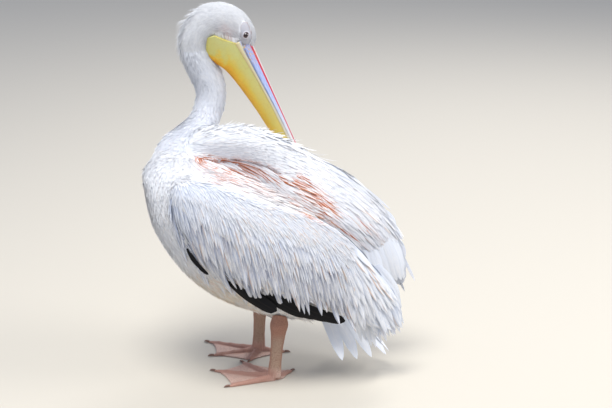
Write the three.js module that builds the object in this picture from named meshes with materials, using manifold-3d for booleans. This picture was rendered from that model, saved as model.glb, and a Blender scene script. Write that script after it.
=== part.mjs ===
// A great white pelican, life size, standing on both feet and preening: its neck bends round to its
// right, its head faces backwards and its bill reaches down over the lifted right wing.
// Millimetres, +Z up. The bird faces -X, so its left side faces -Y. The origin is on the floor, under the
// middle of the bird's bounding box.

import * as THREE from 'three';
import { mergeVertices } from 'three/addons/utils/BufferGeometryUtils.js';
import Module from 'manifold-3d';

const wasm = await Module();
wasm.setup();

// ---- Driving dimensions ----

const CUT = 0.3; // gap between two neighbouring pieces
const VANE_EDGE = 0.5; // half the thickness of a feather's edge
const SOLE = 3.5; // thickness of the web between the toes

const TRUNK_BREAST = new THREE.Vector3(-386, 0, 526); // the trunk's foremost point
const TRUNK_TAIL = new THREE.Vector3(125, 0, 151); // where the tail leaves it

// Where the neck and head are parted, as shares of their length, with the rings in each stretch.
const NECK_PARTS = { neck_lower: [0.03, 0.4, 9], neck_upper: [0.4, 0.62, 6], head: [0.62, 1, 13] };
const NECK_SEAM = 0.0008; // half the gap between two stretches, as a share of the length

const BILL_BASE = new THREE.Vector3(-120, 112, 771); // where the forehead's feathers meet the culmen
const BILL_JOIN = 285; // how far along it the two rods of the lower bill become one
const ROD_WIDTH = 6;
const BILL_RUN = new THREE.Vector3(0.38, 0.1, -0.92).normalize();
const BILL_SIDE = new THREE.Vector3(0, 1, 0).addScaledVector(BILL_RUN, -BILL_RUN.y).normalize();
const BILL_UP = new THREE.Vector3().crossVectors(BILL_RUN, BILL_SIDE).normalize(); // towards the culmen

const EYE_RADIUS = 9.5;
const EYE_SPACING = 52; // from centre to centre
const EYES = new THREE.Vector3(-143, 112, 817); // midway between the eyes

const LEG_LEFT = { knee: [-62, -76, 190], heel: [-65, -76, 140], sole: [-78, -74, 8] };
const LEG_RIGHT = { knee: [-114, 88, 190], heel: [-115, 90, 140], sole: [-121, 98, 8] };

// Each foot's toe tips on the floor, from the inner hind toe to the outer one.
const TOES_LEFT = [[-36, -28], [-158, 24], [-226, -28], [-186, -120]];
const TOES_RIGHT = [[-52, 92], [-142, 34], [-236, 68], [-252, 156]];

// ---- Solids and curves ----

/** A closed manifold-3d solid from a closed three.js geometry, whichever way its faces point. */
function solidOf(geometry) {
  const bare = geometry.clone();
  bare.deleteAttribute('normal');
  bare.deleteAttribute('uv');
  const merged = mergeVertices(bare, 1e-3);
  const corners = new Uint32Array(merged.index.array);
  const made = () => new wasm.Manifold(new wasm.Mesh({
    numProp: 3,
    vertProperties: merged.attributes.position.array,
    triVerts: corners,
  }));
  const solid = made();
  if (solid.volume() > 0) return solid;
  for (let i = 0; i < corners.length; i += 3) {
    [corners[i + 1], corners[i + 2]] = [corners[i + 2], corners[i + 1]];
  }
  return made();
}

/** A three.js geometry from a manifold-3d solid. */
function geometryOf(solid) {
  const { numProp, vertProperties, triVerts } = solid.getMesh();
  const positions = new Float32Array((vertProperties.length / numProp) * 3);
  for (let i = 0; i < positions.length / 3; i++) {
    positions.set(vertProperties.subarray(i * numProp, i * numProp + 3), i * 3);
  }
  const geometry = new THREE.BufferGeometry();
  geometry.setAttribute('position', new THREE.BufferAttribute(positions, 3));
  geometry.setIndex(new THREE.BufferAttribute(triVerts, 1));
  return geometry;
}

/** The largest of a solid's separate bodies, without the slivers that a cut can leave. */
function mainBody(solid) {
  return solid.decompose().sort((a, b) => b.volume() - a.volume())[0];
}

/** Everything in the list as one solid. */
const joined = (solids) => solids.reduce((whole, next) => whole.add(next));

/** A solid without what the others take up. */
const clearOf = (solid, ...others) => others.reduce((left, other) => left.subtract(other), solid);

/** A closed solid through a list of rings with equal numbers of points; a ring may be one point. */
function skinned(rings) {
  const count = Math.max(...rings.map((ring) => ring.length));
  const points = [];
  const starts = rings.map((ring) => {
    points.push(...ring);
    return points.length - ring.length;
  });
  const corner = (r, i) => starts[r] + (rings[r].length === 1 ? 0 : i % count);
  const faces = [];
  for (let r = 0; r + 1 < rings.length; r++) {
    for (let i = 0; i < count; i++) {
      const [a, b, c, d] = [corner(r, i), corner(r, i + 1), corner(r + 1, i + 1), corner(r + 1, i)];
      if (a !== b) faces.push(a, b, c);
      if (c !== d) faces.push(a, c, d);
    }
  }
  for (const [r, turned] of [[0, true], [rings.length - 1, false]]) {
    if (rings[r].length === 1) continue;
    const middle = points.length;
    points.push(rings[r].reduce((sum, p) => sum.add(p), new THREE.Vector3()).divideScalar(count));
    for (let i = 0; i < count; i++) {
      const [a, b] = turned ? [corner(r, i + 1), corner(r, i)] : [corner(r, i), corner(r, i + 1)];
      faces.push(middle, a, b);
    }
  }
  const geometry = new THREE.BufferGeometry().setFromPoints(points);
  geometry.setIndex(faces);
  return solidOf(geometry);
}

/** A smooth curve through values that change along a piece, each a list of up to three numbers. */
function track(values) {
  return new THREE.CatmullRomCurve3(values.map((v) => new THREE.Vector3(...v)), false, 'catmullrom', 0.5);
}

/** The point of a unit superellipse at an angle: 2 is an ellipse, and more is squarer. */
function superellipse(angle, power) {
  const [c, s] = [Math.cos(angle), Math.sin(angle)];
  return [Math.sign(c) * Math.abs(c) ** (2 / power), Math.sign(s) * Math.abs(s) ** (2 / power)];
}

/**
 * A rounded body along a spine. Each station holds its place on the spine and the section's reach to
 * the side, up and down; from and to are the shares of the spine that are made, and seam is what each
 * end stays short of them.
 */
function body(stations, { rings, around, power = 2, from = 0, to = 1, seam = 0, grow = 0 }) {
  const spine = track(stations.map((s) => s.at));
  const reach = track(stations.map((s) => [s.side, s.up, s.down ?? s.up]));
  const made = [];
  for (let r = 0; r <= rings; r++) {
    const held = (r === 0 ? seam : 0) - (r === rings && to < 1 ? seam : 0);
    const t = from + ((to - from) * r) / rings + held;
    const [at, [side, up, down]] = [spine.getPoint(t), reach.getPoint(t).toArray()];
    const run = spine.getTangent(t);
    const sideways = new THREE.Vector3(0, 1, 0).addScaledVector(run, -run.y).normalize();
    const upwards = new THREE.Vector3().crossVectors(run, sideways).normalize();
    const bump = Math.min(side, up, down);
    if (bump < 0.5) {
      made.push([at.addScaledVector(run, (r ? 1 : -1) * grow)]);
      continue;
    }
    made.push(Array.from({ length: around }, (_, i) => {
      const [c, s] = superellipse((2 * Math.PI * i) / around, power);
      return at.clone()
        .addScaledVector(sideways, c * (side + grow))
        .addScaledVector(upwards, s * ((s > 0 ? up : down) + grow));
    }));
  }
  return skinned(made);
}

/** One large feather: a thin vane from root to tip, bowed towards a point, its flat side facing away. */
function feather({ root, bow, tip, width, depth, facing, grow }) {
  const quill = new THREE.QuadraticBezierCurve3(...[root, bow, tip].map((p) => new THREE.Vector3(...p)));
  const outline = [[0, 0.6], [0.45, 1], [0.88, 0.8], [1, 0.25]];
  return skinned(outline.map(([t, share]) => {
    const [at, run] = [quill.getPoint(t), quill.getTangent(t)];
    const across = new THREE.Vector3().crossVectors(run, facing).normalize();
    const out = new THREE.Vector3().crossVectors(across, run).normalize();
    const edge = VANE_EDGE + grow;
    const [w, ridge] = [(share * width) / 2 + grow, (share * depth) / 2 + edge];
    return [[-w, -edge], [0, -ridge], [w, -edge], [w, edge], [0, ridge], [-w, edge]]
      .map(([a, b]) => at.clone().addScaledVector(across, a).addScaledVector(out, b));
  }));
}

/** A value between two lists of numbers. */
const between = (a, b, t) => a.map((value, i) => value + (b[i] - value) * t);

// ---- Trunk ----

/** The trunk, from the breast down to the root of the tail. */
function trunk(grow = 0) {
  const axis = TRUNK_TAIL.clone().sub(TRUNK_BREAST).normalize();
  const stations = [
    [0, 0, 0, 0], [6, 30, 24, 22], [18, 58, 42, 32], [44, 86, 63, 60], [71, 104, 76, 86], [100, 119, 85, 111],
    [137, 132, 94, 131], [179, 141, 102, 148], [224, 147, 110, 162], [273, 149, 117, 169], [318, 149, 121, 169],
    [360, 146, 122, 163], [397, 140, 117, 153], [434, 131, 106, 141], [476, 118, 93, 126], [531, 92, 74, 96],
    [579, 62, 50, 70], [612, 32, 26, 38], [634, 0, 0, 0],
  ].map(([along, side, up, down]) => {
    return { at: TRUNK_BREAST.clone().addScaledVector(axis, along).toArray(), side, up, down };
  });
  return body(stations, { rings: 18, around: 20, power: 2.3, grow });
}

// ---- Neck, head and bill ----

/** One stretch of the neck and head, which are one bent form from the breast to the forehead. */
function neckPart(name, grow = 0) {
  const [from, to, rings] = NECK_PARTS[name];
  const stations = [
    [-296, 14, 470, 60, 74, 60], [-288, 50, 520, 62, 88, 58], [-278, 74, 552, 58, 70, 52],
    [-264, 95, 582, 51, 45, 46], [-250, 108, 608, 44, 32, 42], [-236, 117, 640, 38, 35, 39],
    [-231, 120, 668, 36, 36, 38],
    [-236, 121, 702, 35, 39, 37], [-252, 120, 737, 34, 40, 37], [-264, 118, 774, 33, 40, 31],
    [-257, 115, 812, 33, 42, 30], [-225, 113, 843, 36, 48, 32], [-188, 112, 840, 37, 47, 34],
    [-160, 112, 816, 34, 41, 36], [-143, 112, 788, 25, 27, 27], [-134, 112, 768, 0, 0, 0],
  ].map(([x, y, z, side, up, down]) => ({ at: [x, y, z], side, up, down }));
  return body(stations, { rings, around: 16, from, to, seam: grow ? -NECK_SEAM : NECK_SEAM, grow });
}

/** A point in the bill's own directions: along it, towards its left or right, and towards the culmen. */
function billPoint(along, sideways, up) {
  return BILL_BASE.clone().addScaledVector(BILL_RUN, along).addScaledVector(BILL_SIDE, sideways)
    .addScaledVector(BILL_UP, up);
}

/** A solid along the bill; section gives a ring's points [sideways, up] at each distance. */
function alongBill(distances, section) {
  return skinned(distances.map((d) => section(d).map(([sideways, up]) => billPoint(d, sideways, up))));
}

// The bill's half width, and the depths of its upper and lower parts, by the distance along it.
const BILL_FORM = [
  [-40, 24, 21, 14], [0, 23, 19, 11], [70, 20, 15, 7], [140, 18, 10, 7], [190, 17, 8, 7], [250, 17.5, 7, 6],
  [300, 18, 6, 5], [325, 14, 5, 4], [340, 6, 4, 2.5],
];

/** The bill's half width and the depths of its two parts at a distance along it. */
function billForm(distance) {
  const next = Math.max(1, BILL_FORM.findIndex(([d]) => d >= distance));
  const [before, after] = [BILL_FORM[next - 1], BILL_FORM[next]];
  const [, half, upper, lower] = between(before, after, (distance - before[0]) / (after[0] - before[0]));
  return { half, upper, lower };
}

/** The flat upper bill, with the culmen as a low ridge along its middle. */
function upperBill(grow = 0) {
  const section = (d) => {
    const { half, upper } = billForm(d);
    const slope = [[0, grow], [0.32 * half, -0.3 * upper + grow], [half + grow, -0.8 * upper + grow],
      [half + grow, -upper - grow]];
    return [...slope, [0, -upper - grow], ...slope.slice(1).reverse().map(([a, up]) => [-a, up])];
  };
  return alongBill([-40, -20, 0, 40, 85, 140, 200, 250, 300, 318, 330], section);
}

/** The nail at the end of the upper bill, which hooks down over the lower one. */
function billNail(grow = 0) {
  const stations = [
    [297, -2.6, 7, 3], [312, -2.2, 8, 3.8], [326, -3.2, 7.5, 4.2], [337, -6.5, 6, 4.4], [343, -12, 4, 3.6],
    [344, -18, 0, 0],
  ].map(([along, above, side, up]) => ({ at: billPoint(along, 0, above).toArray(), side, up }));
  return body(stations, { rings: 8, around: 8, grow });
}

/** The lower bill: two slim rods that meet at the tip. */
function lowerBill(grow = 0) {
  const rod = (side) => alongBill([-48, -20, 0, 40, 85, 140, 200, 250, 290, 304, 326], (d) => {
    const { half, upper, lower } = billForm(d);
    const [top, bottom] = [-upper - CUT + grow, -upper - CUT - lower - grow];
    const [outer, inner] = [half + grow, (d > BILL_JOIN ? -1 : half - ROD_WIDTH) - grow];
    return [[outer, top], [outer - 1, bottom], [inner + 1, bottom], [inner, top]]
      .map(([a, up]) => [side * a, up]);
  });
  return rod(1).add(rod(-1));
}

/** The throat pouch, a taut bag of skin hanging between the rods of the lower bill. */
function pouch(grow = 0) {
  const keel = [[-82, 72, 96], [-60, 50, 108], [-38, 24, 110], [-14, 18, 101], [14, 20, 85], [60, 21, 72],
    [130, 16, 58], [200, 14, 47], [260, 12, 33], [312, 10, 15]];
  return skinned(keel.map(([d, top, bottom]) => {
    const half = billForm(d).half - 1.5 + grow;
    const middle = (top + bottom) / 2;
    const ring = [[-1, top - grow], [-0.97, top + (middle - top) * 0.5], [-0.86, middle],
      [-0.56, bottom - (bottom - middle) * 0.35], [-0.2, bottom + grow]];
    return [...ring, ...ring.slice().reverse().map(([a, up]) => [-a, up])]
      .map(([a, depth]) => billPoint(d, a * half, -depth));
  }));
}

/** An eyeball; side is -1 for the right eye and 1 for the left one, as the head faces backwards. */
function eye(side, grow = 0) {
  const ball = new THREE.SphereGeometry(EYE_RADIUS + grow, 12, 7);
  return solidOf(ball.translate(EYES.x, EYES.y + (side * EYE_SPACING) / 2, EYES.z));
}

/** The loose crest of feathers on the nape. */
function crest(grow = 0) {
  const stations = [
    [-268, 115, 872, 0, 0], [-278, 115, 866, 12, 6], [-296, 116, 842, 15, 9], [-303, 117, 808, 14, 10],
    [-302, 118, 772, 11, 8], [-291, 119, 742, 5, 4], [-287, 119, 732, 0, 0],
  ].map(([x, y, z, side, up]) => ({ at: [x, y, z], side, up }));
  return body(stations, { rings: 8, around: 8, grow });
}

// ---- Wings ----

const PLAIN_SIDE = { slope: 0.75, widest: 0.6 };
const SCAPULARS = { slope: 1.5, widest: 0.85 }; // they slant down from the lifted wing to the left one

/**
 * A folded wing with its coat of coverts, as sections from its bend to its tip. Each section runs from
 * a top to a bottom point, swells outwards by its bulge, and has its own thickness outwards and inwards.
 * A flare, with a power for its slope and one for how far down it is widest, makes the inner side of the
 * rear half run down evenly from the ridge.
 */
function wing(sections, side, grow = 0, flare = PLAIN_SIDE) {
  const top = track(sections.map((s) => s.top));
  const bottom = track(sections.map((s) => s.bottom));
  const form = track(sections.map((s) => s.form));
  const [columns, rows] = [16, 6];
  const rings = [];
  for (let c = 0; c <= columns; c++) {
    const u = c / columns;
    const [a, b] = [top.getPoint(u), bottom.getPoint(u)];
    const along = top.getTangent(u).add(bottom.getTangent(u)).normalize();
    if (c === 0 || c === columns) {
      rings.push([a.lerp(b, 0.5).addScaledVector(along, c ? grow : -grow)]);
      continue;
    }
    const chord = b.clone().sub(a).normalize();
    a.addScaledVector(chord, -grow);
    b.addScaledVector(chord, grow);
    const out = new THREE.Vector3().crossVectors(chord, along).normalize();
    if (out.y * side < 0) out.negate();
    const front = Math.sqrt(1 - (1 - Math.min(1, u / 0.1)) ** 2); // rounds off the bend of the wing
    const [bulge, outer, inner] = form.getPoint(u).toArray();
    const rear = THREE.MathUtils.smoothstep(u, 0.3, 0.55);
    const place = (v, thickness) => {
      const share = thickness < 0 ? rear : 0;
      const slope = THREE.MathUtils.lerp(PLAIN_SIDE.slope, flare.slope, share);
      const widest = THREE.MathUtils.lerp(PLAIN_SIDE.widest, flare.widest, share);
      const lens = Math.sin(Math.PI * v ** widest) ** slope;
      const off = bulge * 4 * v * (1 - v) + front * lens * thickness + Math.sign(thickness) * (grow + VANE_EDGE);
      const w = 0.5 + (v - 0.5) * front;
      return a.clone().lerp(b, w).addScaledVector(out, off);
    };
    const ring = [];
    for (let r = 0; r <= rows; r++) ring.push(place(0.5 - 0.5 * Math.cos((Math.PI * r) / rows), outer));
    for (let r = rows; r >= 0; r--) ring.push(place(0.5 - 0.5 * Math.cos((Math.PI * r) / rows), -inner));
    rings.push(ring);
  }
  return skinned(rings);
}

const LEFT_WING = [
  { top: [-320, -108, 506], bottom: [-324, -118, 474], form: [2, 10, 14] },
  { top: [-300, -110, 526], bottom: [-308, -136, 404], form: [8, 18, 26] },
  { top: [-248, -108, 524], bottom: [-274, -146, 350], form: [14, 22, 32] },
  { top: [-172, -106, 500], bottom: [-214, -151, 292], form: [20, 23, 34] },
  { top: [-92, -102, 468], bottom: [-130, -151, 246], form: [24, 21, 34] },
  { top: [-12, -96, 444], bottom: [-36, -143, 218], form: [24, 18, 30] },
  { top: [60, -88, 408], bottom: [54, -125, 190], form: [20, 16, 26] },
  { top: [112, -80, 362], bottom: [116, -100, 152], form: [14, 12, 18] },
  { top: [164, -70, 298], bottom: [168, -80, 116], form: [8, 9, 12] },
  { top: [210, -62, 222], bottom: [208, -64, 104], form: [3, 6, 7] },
  { top: [234, -58, 164], bottom: [232, -58, 116], form: [0, 2, 2] },
];

const RIGHT_WING = [
  { top: [-266, 2, 556], bottom: [-266, 8, 530], form: [0, 20, 20] },
  { top: [-254, 14, 592], bottom: [-256, 66, 470], form: [6, 30, 42] },
  { top: [-224, 24, 610], bottom: [-230, 124, 372], form: [16, 30, 60] },
  { top: [-162, 32, 619], bottom: [-170, 160, 312], form: [26, 30, 72] },
  { top: [-90, 40, 600], bottom: [-92, 172, 272], form: [28, 28, 90] },
  { top: [-12, 46, 568], bottom: [-4, 166, 240], form: [24, 24, 150] },
  { top: [74, 50, 518], bottom: [86, 146, 216], form: [20, 20, 165] },
  { top: [156, 48, 455], bottom: [158, 110, 200], form: [12, 15, 125] },
  { top: [208, 40, 396], bottom: [206, 74, 188], form: [6, 10, 55] },
  { top: [238, 38, 318], bottom: [234, 50, 194], form: [3, 6, 9] },
  { top: [250, 38, 248], bottom: [250, 40, 208], form: [0, 2, 2] },
];

/** The dark flight feathers that show below a wing's coverts, as a shingled row. */
function primaries(side, grow = 0) {
  const row = side < 0
    ? { roots: [[-222, -134, 306], [-70, -132, 240]], tips: [[-70, -138, 204], [96, -106, 166]] }
    : { roots: [[-222, 136, 340], [-70, 150, 270]], tips: [[-70, 160, 216], [96, 132, 186]] };
  const count = 5;
  return joined(Array.from({ length: count }, (_, i) => {
    const t = i / (count - 1);
    const [root, tip] = [between(...row.roots, t), between(...row.tips, t)];
    const bow = between(root, tip, 0.5);
    bow[2] -= 12;
    bow[1] += side * 4;
    return feather({ root, bow, tip, width: 34, depth: 5, facing: new THREE.Vector3(0, side, 0.1), grow });
  }));
}

/** The long white feathers that fan out behind a wing. */
function tertials(side, grow = 0) {
  const fan = side < 0
    ? { roots: [[92, -64, 250], [178, -50, 262]], tips: [[146, -68, 84], [232, -48, 172]], count: 5 }
    : { roots: [[138, 26, 336], [200, 20, 380]], tips: [[184, 32, 190], [236, 18, 296]], count: 4 };
  return joined(Array.from({ length: fan.count }, (_, i) => {
    const t = i / (fan.count - 1);
    const reach = 9 * Math.sin(Math.PI * t); // the middle feathers are the longest
    const [root, tip] = [between(...fan.roots, t), between(...fan.tips, t)];
    const bow = between(root, tip, 0.5);
    tip[0] += reach;
    tip[2] -= reach;
    bow[0] += 10;
    bow[1] += side * 3;
    return feather({ root, bow, tip, width: 54, depth: 6, facing: new THREE.Vector3(0.1, side, 0.1), grow });
  }));
}

// ---- Tail ----

/** The short drooping tail: a fan of broad feathers that leaves the trunk under soft coverts. */
function tail(grow = 0) {
  const count = 7;
  const fan = Array.from({ length: count }, (_, i) => {
    const spread = (2 * i) / (count - 1) - 1; // -1 is the leftmost feather, 1 the rightmost
    const root = [104 - 12 * Math.abs(spread), 26 * spread, 168];
    const tip = [198 - 122 * spread ** 2, 88 * spread, 36 + 12 * spread ** 2];
    const bow = between(root, tip, 0.5);
    bow[0] += 14;
    const facing = new THREE.Vector3(0.7, 1.7 * spread, 0.5).normalize();
    return feather({ root, bow, tip, width: 50, depth: 5, facing, grow });
  });
  const coverts = body([
    { at: [88, 0, 182], side: 30, up: 24 }, { at: [118, 0, 150], side: 50, up: 20 },
    { at: [140, 0, 116], side: 58, up: 12 }, { at: [154, 0, 88], side: 56, up: 5 },
    { at: [158, 0, 78], side: 0, up: 0 },
  ], { rings: 5, around: 10, grow });
  return joined([coverts, ...fan]);
}

// ---- Legs and feet ----

/** A leg from inside the thigh's feathers, over the knobbly heel joint, to the top of the foot. */
function leg({ knee, heel, sole }, grow = 0) {
  const stations = [
    { at: knee, side: 15, up: 21 },
    { at: between(knee, heel, 0.6), side: 14, up: 18 },
    { at: heel, side: 15, up: 21 },
    { at: between(heel, sole, 0.25), side: 12, up: 17 },
    { at: between(heel, sole, 0.6), side: 10, up: 15 },
    { at: between(heel, sole, 0.9), side: 12, up: 17 },
    { at: sole, side: 13, up: 18 },
  ];
  return body(stations, { rings: 7, around: 10, grow });
}

/** A toe lying on the floor: a rounded ridge with a flat sole. */
function toe(from, to, grow = 0) {
  const [a, b] = [new THREE.Vector3(...from, 0), new THREE.Vector3(...to, 0)];
  const run = b.clone().sub(a);
  const across = new THREE.Vector3(-run.y, run.x, 0).normalize();
  const steps = [[0, 12, 17], [0.3, 9, 12], [0.6, 7.5, 9], [0.88, 6, 7], [1, 4, 4]];
  return skinned(steps.map(([t, half, height]) => {
    const at = a.clone().addScaledVector(run, t);
    return [[-1, 0], [1, 0], [0.8, 0.7], [0, 1], [-0.8, 0.7]].map(([w, h]) => at.clone()
      .addScaledVector(across, w * (half + grow)).add(new THREE.Vector3(0, 0, h * (height + grow))));
  }));
}

/** A foot: four toes joined by one web, whose edge curves in between the toes. */
function foot(ankle, tips, grow = 0) {
  const web = new THREE.Shape();
  const middle = new THREE.Vector2(...ankle);
  const inset = tips.map((tip) => new THREE.Vector2(...tip).lerp(middle, 0.06));
  web.moveTo(inset[0].x, inset[0].y);
  for (let i = 1; i < inset.length; i++) {
    const dip = inset[i - 1].clone().add(inset[i]).multiplyScalar(0.5).lerp(middle, 0.1);
    web.quadraticCurveTo(dip.x, dip.y, inset[i].x, inset[i].y);
  }
  const outside = inset[3].clone().lerp(middle, 0.5).add(new THREE.Vector2(4, Math.sign(ankle[1]) * 6));
  web.quadraticCurveTo(outside.x, outside.y, middle.x + 22, middle.y);
  web.closePath();
  const skin = new THREE.ExtrudeGeometry(web, { depth: SOLE + grow, bevelEnabled: false, curveSegments: 4 });
  return joined([solidOf(skin), ...tips.map((tip) => toe(ankle, tip, grow))]);
}

/** The claw at a toe's tip, curving down to just above the floor. */
function claw(ankle, tip) {
  const run = new THREE.Vector3(tip[0] - ankle[0], tip[1] - ankle[1], 0).normalize();
  const across = new THREE.Vector3(-run.y, run.x, 0);
  const start = new THREE.Vector3(...tip, 0).addScaledVector(run, CUT);
  const steps = [[0, 3.2, 0.6, 6], [5, 2.8, 0.6, 6.2], [9, 2, 0.5, 4.6], [13, 0.7, 0.5, 1.9]];
  return skinned(steps.map(([d, half, low, high]) => {
    const at = start.clone().addScaledVector(run, d);
    return [[-1, low], [1, low], [1, (low + high) / 2], [0, high], [-1, (low + high) / 2]]
      .map(([w, z]) => at.clone().addScaledVector(across, w * half).setZ(z));
  }));
}

// ---- The pelican ----

const plumage = new THREE.MeshStandardMaterial({ color: 0xf2eeea, roughness: 0.9 });
const flight = new THREE.MeshStandardMaterial({ color: 0x17171b, roughness: 0.6 });
const bareSkin = new THREE.MeshStandardMaterial({ color: 0xc08d75, roughness: 0.6 });
const billHorn = new THREE.MeshStandardMaterial({ color: 0x94a3c8, roughness: 0.45 });
const rodHorn = new THREE.MeshStandardMaterial({ color: 0xd9cf9a, roughness: 0.5 });
const nailHorn = new THREE.MeshStandardMaterial({ color: 0xc2333d, roughness: 0.4 });
const pouchSkin = new THREE.MeshStandardMaterial({ color: 0xdcc95a, roughness: 0.5 });
const clawHorn = new THREE.MeshStandardMaterial({ color: 0x4a3a36, roughness: 0.5 });
const iris = new THREE.MeshStandardMaterial({ color: 0x3a1512, roughness: 0.1 });

const pelican = new THREE.Group();

/** Adds a solid as a named node. */
function add(name, solid, material) {
  const mesh = new THREE.Mesh(geometryOf(mainBody(solid)), material);
  mesh.name = name;
  pelican.add(mesh);
}

const neckSpace = joined(Object.keys(NECK_PARTS).map((name) => neckPart(name, CUT)));
const trunkSpace = trunk(CUT);
const eyeSpaces = [eye(-1, CUT), eye(1, CUT)];

add('trunk', trunk(), plumage);
add('neck_lower', clearOf(neckPart('neck_lower'), trunkSpace), plumage);
add('neck_upper', neckPart('neck_upper'), plumage);
add('head', clearOf(neckPart('head'), ...eyeSpaces), plumage);
add('crest', clearOf(crest(), neckSpace), plumage);
add('eye_right', eye(-1), iris);
add('eye_left', eye(1), iris);

add('upper_bill', clearOf(upperBill(), neckSpace, billNail(CUT)), billHorn);
add('bill_nail', billNail(), nailHorn);
add('lower_bill', clearOf(lowerBill(), neckSpace, billNail(CUT)), rodHorn);
add('throat_pouch', clearOf(pouch(), neckSpace, upperBill(CUT), lowerBill(CUT), billNail(CUT)), pouchSkin);

const leftWing = clearOf(wing(LEFT_WING, -1), trunkSpace);
const billSpace = [upperBill(CUT), lowerBill(CUT), pouch(CUT), billNail(CUT)];
const rightWing = clearOf(wing(RIGHT_WING, 1, 0, SCAPULARS), trunkSpace, neckSpace, wing(LEFT_WING, -1, CUT),
  ...billSpace);
const wingSpaces = [wing(LEFT_WING, -1, CUT), wing(RIGHT_WING, 1, CUT, SCAPULARS)];
add('wing_left', leftWing, plumage);
add('wing_right', rightWing, plumage);
const legSpaces = [leg(LEG_LEFT, CUT), leg(LEG_RIGHT, CUT)];
add('primaries_left', clearOf(primaries(-1), trunkSpace, ...wingSpaces, ...legSpaces), flight);
add('primaries_right', clearOf(primaries(1), trunkSpace, ...wingSpaces, ...legSpaces), flight);
add('tertials_left', clearOf(tertials(-1), trunkSpace, ...wingSpaces, primaries(-1, CUT)), plumage);
add('tertials_right', clearOf(tertials(1), trunkSpace, ...wingSpaces, primaries(1, CUT)), plumage);
add('tail', clearOf(tail(), trunkSpace, ...wingSpaces, primaries(-1, CUT), primaries(1, CUT),
  tertials(-1, CUT), tertials(1, CUT)), plumage);

for (const [side, form, tips] of [['left', LEG_LEFT, TOES_LEFT], ['right', LEG_RIGHT, TOES_RIGHT]]) {
  const ankle = form.sole.slice(0, 2);
  const footSpace = foot(ankle, tips, CUT);
  add(`leg_${side}`, clearOf(leg(form), trunkSpace, footSpace), bareSkin);
  add(`foot_${side}`, foot(ankle, tips), bareSkin);
  tips.forEach((tip, i) => add(`claw_${side}_${i + 1}`, claw(ankle, tip), clawHorn));
}

// The origin goes under the middle of the bounding box, on the floor.
const extent = new THREE.Box3().setFromObject(pelican);
const centre = extent.getCenter(new THREE.Vector3());
pelican.position.set(-centre.x, -centre.y, -extent.min.z);

export default pelican;
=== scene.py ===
"""A life-size great white pelican that stands and preens: skin, coat, flight feathers, bill, eyes and feet.

The scene's lengths are metres. The bird's own numbers are millimetres, measured as in the solids' source:
+Z up, the breast towards -X and the left side towards -Y. Landmarks.at turns them into the scene's.
"""

import logging
import math
from dataclasses import dataclass, field
from enum import Enum
from functools import cached_property, partial
from typing import Any, Callable, Sequence

import bmesh
import bpy
import numpy as np
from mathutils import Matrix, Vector
from mathutils.bvhtree import BVHTree

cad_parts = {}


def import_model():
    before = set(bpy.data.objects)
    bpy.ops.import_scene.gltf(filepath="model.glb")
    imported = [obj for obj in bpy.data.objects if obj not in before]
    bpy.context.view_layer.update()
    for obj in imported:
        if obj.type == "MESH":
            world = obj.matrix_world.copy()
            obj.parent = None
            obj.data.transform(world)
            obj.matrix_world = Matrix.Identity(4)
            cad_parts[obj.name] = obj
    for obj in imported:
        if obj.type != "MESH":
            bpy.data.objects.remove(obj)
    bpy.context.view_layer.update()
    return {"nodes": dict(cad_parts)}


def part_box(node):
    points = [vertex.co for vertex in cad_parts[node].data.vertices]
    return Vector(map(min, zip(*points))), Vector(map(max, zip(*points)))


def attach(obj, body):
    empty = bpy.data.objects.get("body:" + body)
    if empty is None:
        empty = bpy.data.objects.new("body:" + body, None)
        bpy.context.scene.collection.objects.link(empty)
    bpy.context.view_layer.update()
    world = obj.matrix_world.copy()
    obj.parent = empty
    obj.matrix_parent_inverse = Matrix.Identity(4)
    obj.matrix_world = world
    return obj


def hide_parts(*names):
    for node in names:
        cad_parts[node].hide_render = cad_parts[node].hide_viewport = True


LOG = logging.getLogger("pelican")
MM = 0.001
BAKE_PATCH = 0.003  # how wide one tuft is on its coat's bake map
Array = np.ndarray
Socket = bpy.types.NodeSocket
Material = bpy.types.Material
Mesh = bpy.types.Mesh
Object = bpy.types.Object
Tree = bpy.types.NodeTree
Rows = Sequence[Sequence[float]]
Solid = tuple[Array, list[tuple[int, ...]]]  # points and faces
ByPlace = Callable[[Array], Array]  # from places on the bird to a number for each
Rule = Callable[[Array, Array, Array], Array]  # from places, normals and labels to whether each is chosen
Way = Callable[[Array, Array], Array]  # from places and normals to a direction for each


# ---- Small tools ----

def hex_colour(code: str) -> tuple[float, ...]:
    """An sRGB colour of six hex digits as linear red, green, blue and a full alpha."""
    parts = [int(code[i:i + 2], 16) / 255 for i in (0, 2, 4)]
    linear = [c / 12.92 if c <= 0.04045 else ((c + 0.055) / 1.055) ** 2.4 for c in parts]
    return (*linear, 1.0)


def add_node(tree: Tree, kind: str, inputs: dict[Any, Any] | None = None,
             **settings: Any) -> bpy.types.Node:
    """Adds a node to a tree, with its settings, then sets or links its inputs.

    Args:
        tree: the shader or geometry tree.
        kind: the node's type.
        inputs: by input name or number, a value to set or an output socket to link.
        **settings: the node's own properties.

    Returns:
        The new node.
    """
    made = tree.nodes.new(kind)
    for name, value in settings.items():
        setattr(made, name, value)
    for key, value in (inputs or {}).items():
        if isinstance(value, Socket):
            tree.links.new(value, made.inputs[key])
        else:
            made.inputs[key].default_value = value
    return made


def math_step(tree: Tree, operation: str, *values: Any, clamp: bool = False) -> Socket:
    """One step of arithmetic in a tree, and its result."""
    return add_node(tree, "ShaderNodeMath", dict(enumerate(values)), operation=operation,
                    use_clamp=clamp).outputs[0]


def unit(vectors: Array) -> Array:
    """The vectors, each with length one."""
    return vectors / np.maximum(np.linalg.norm(vectors, axis=-1, keepdims=True), 1e-12)


def ease(low: float, high: float, x: Array) -> Array:
    """A smooth rise from 0 at low to 1 at high."""
    t = np.clip((x - low) / (high - low), 0, 1)
    return t * t * (3 - 2 * t)


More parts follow.
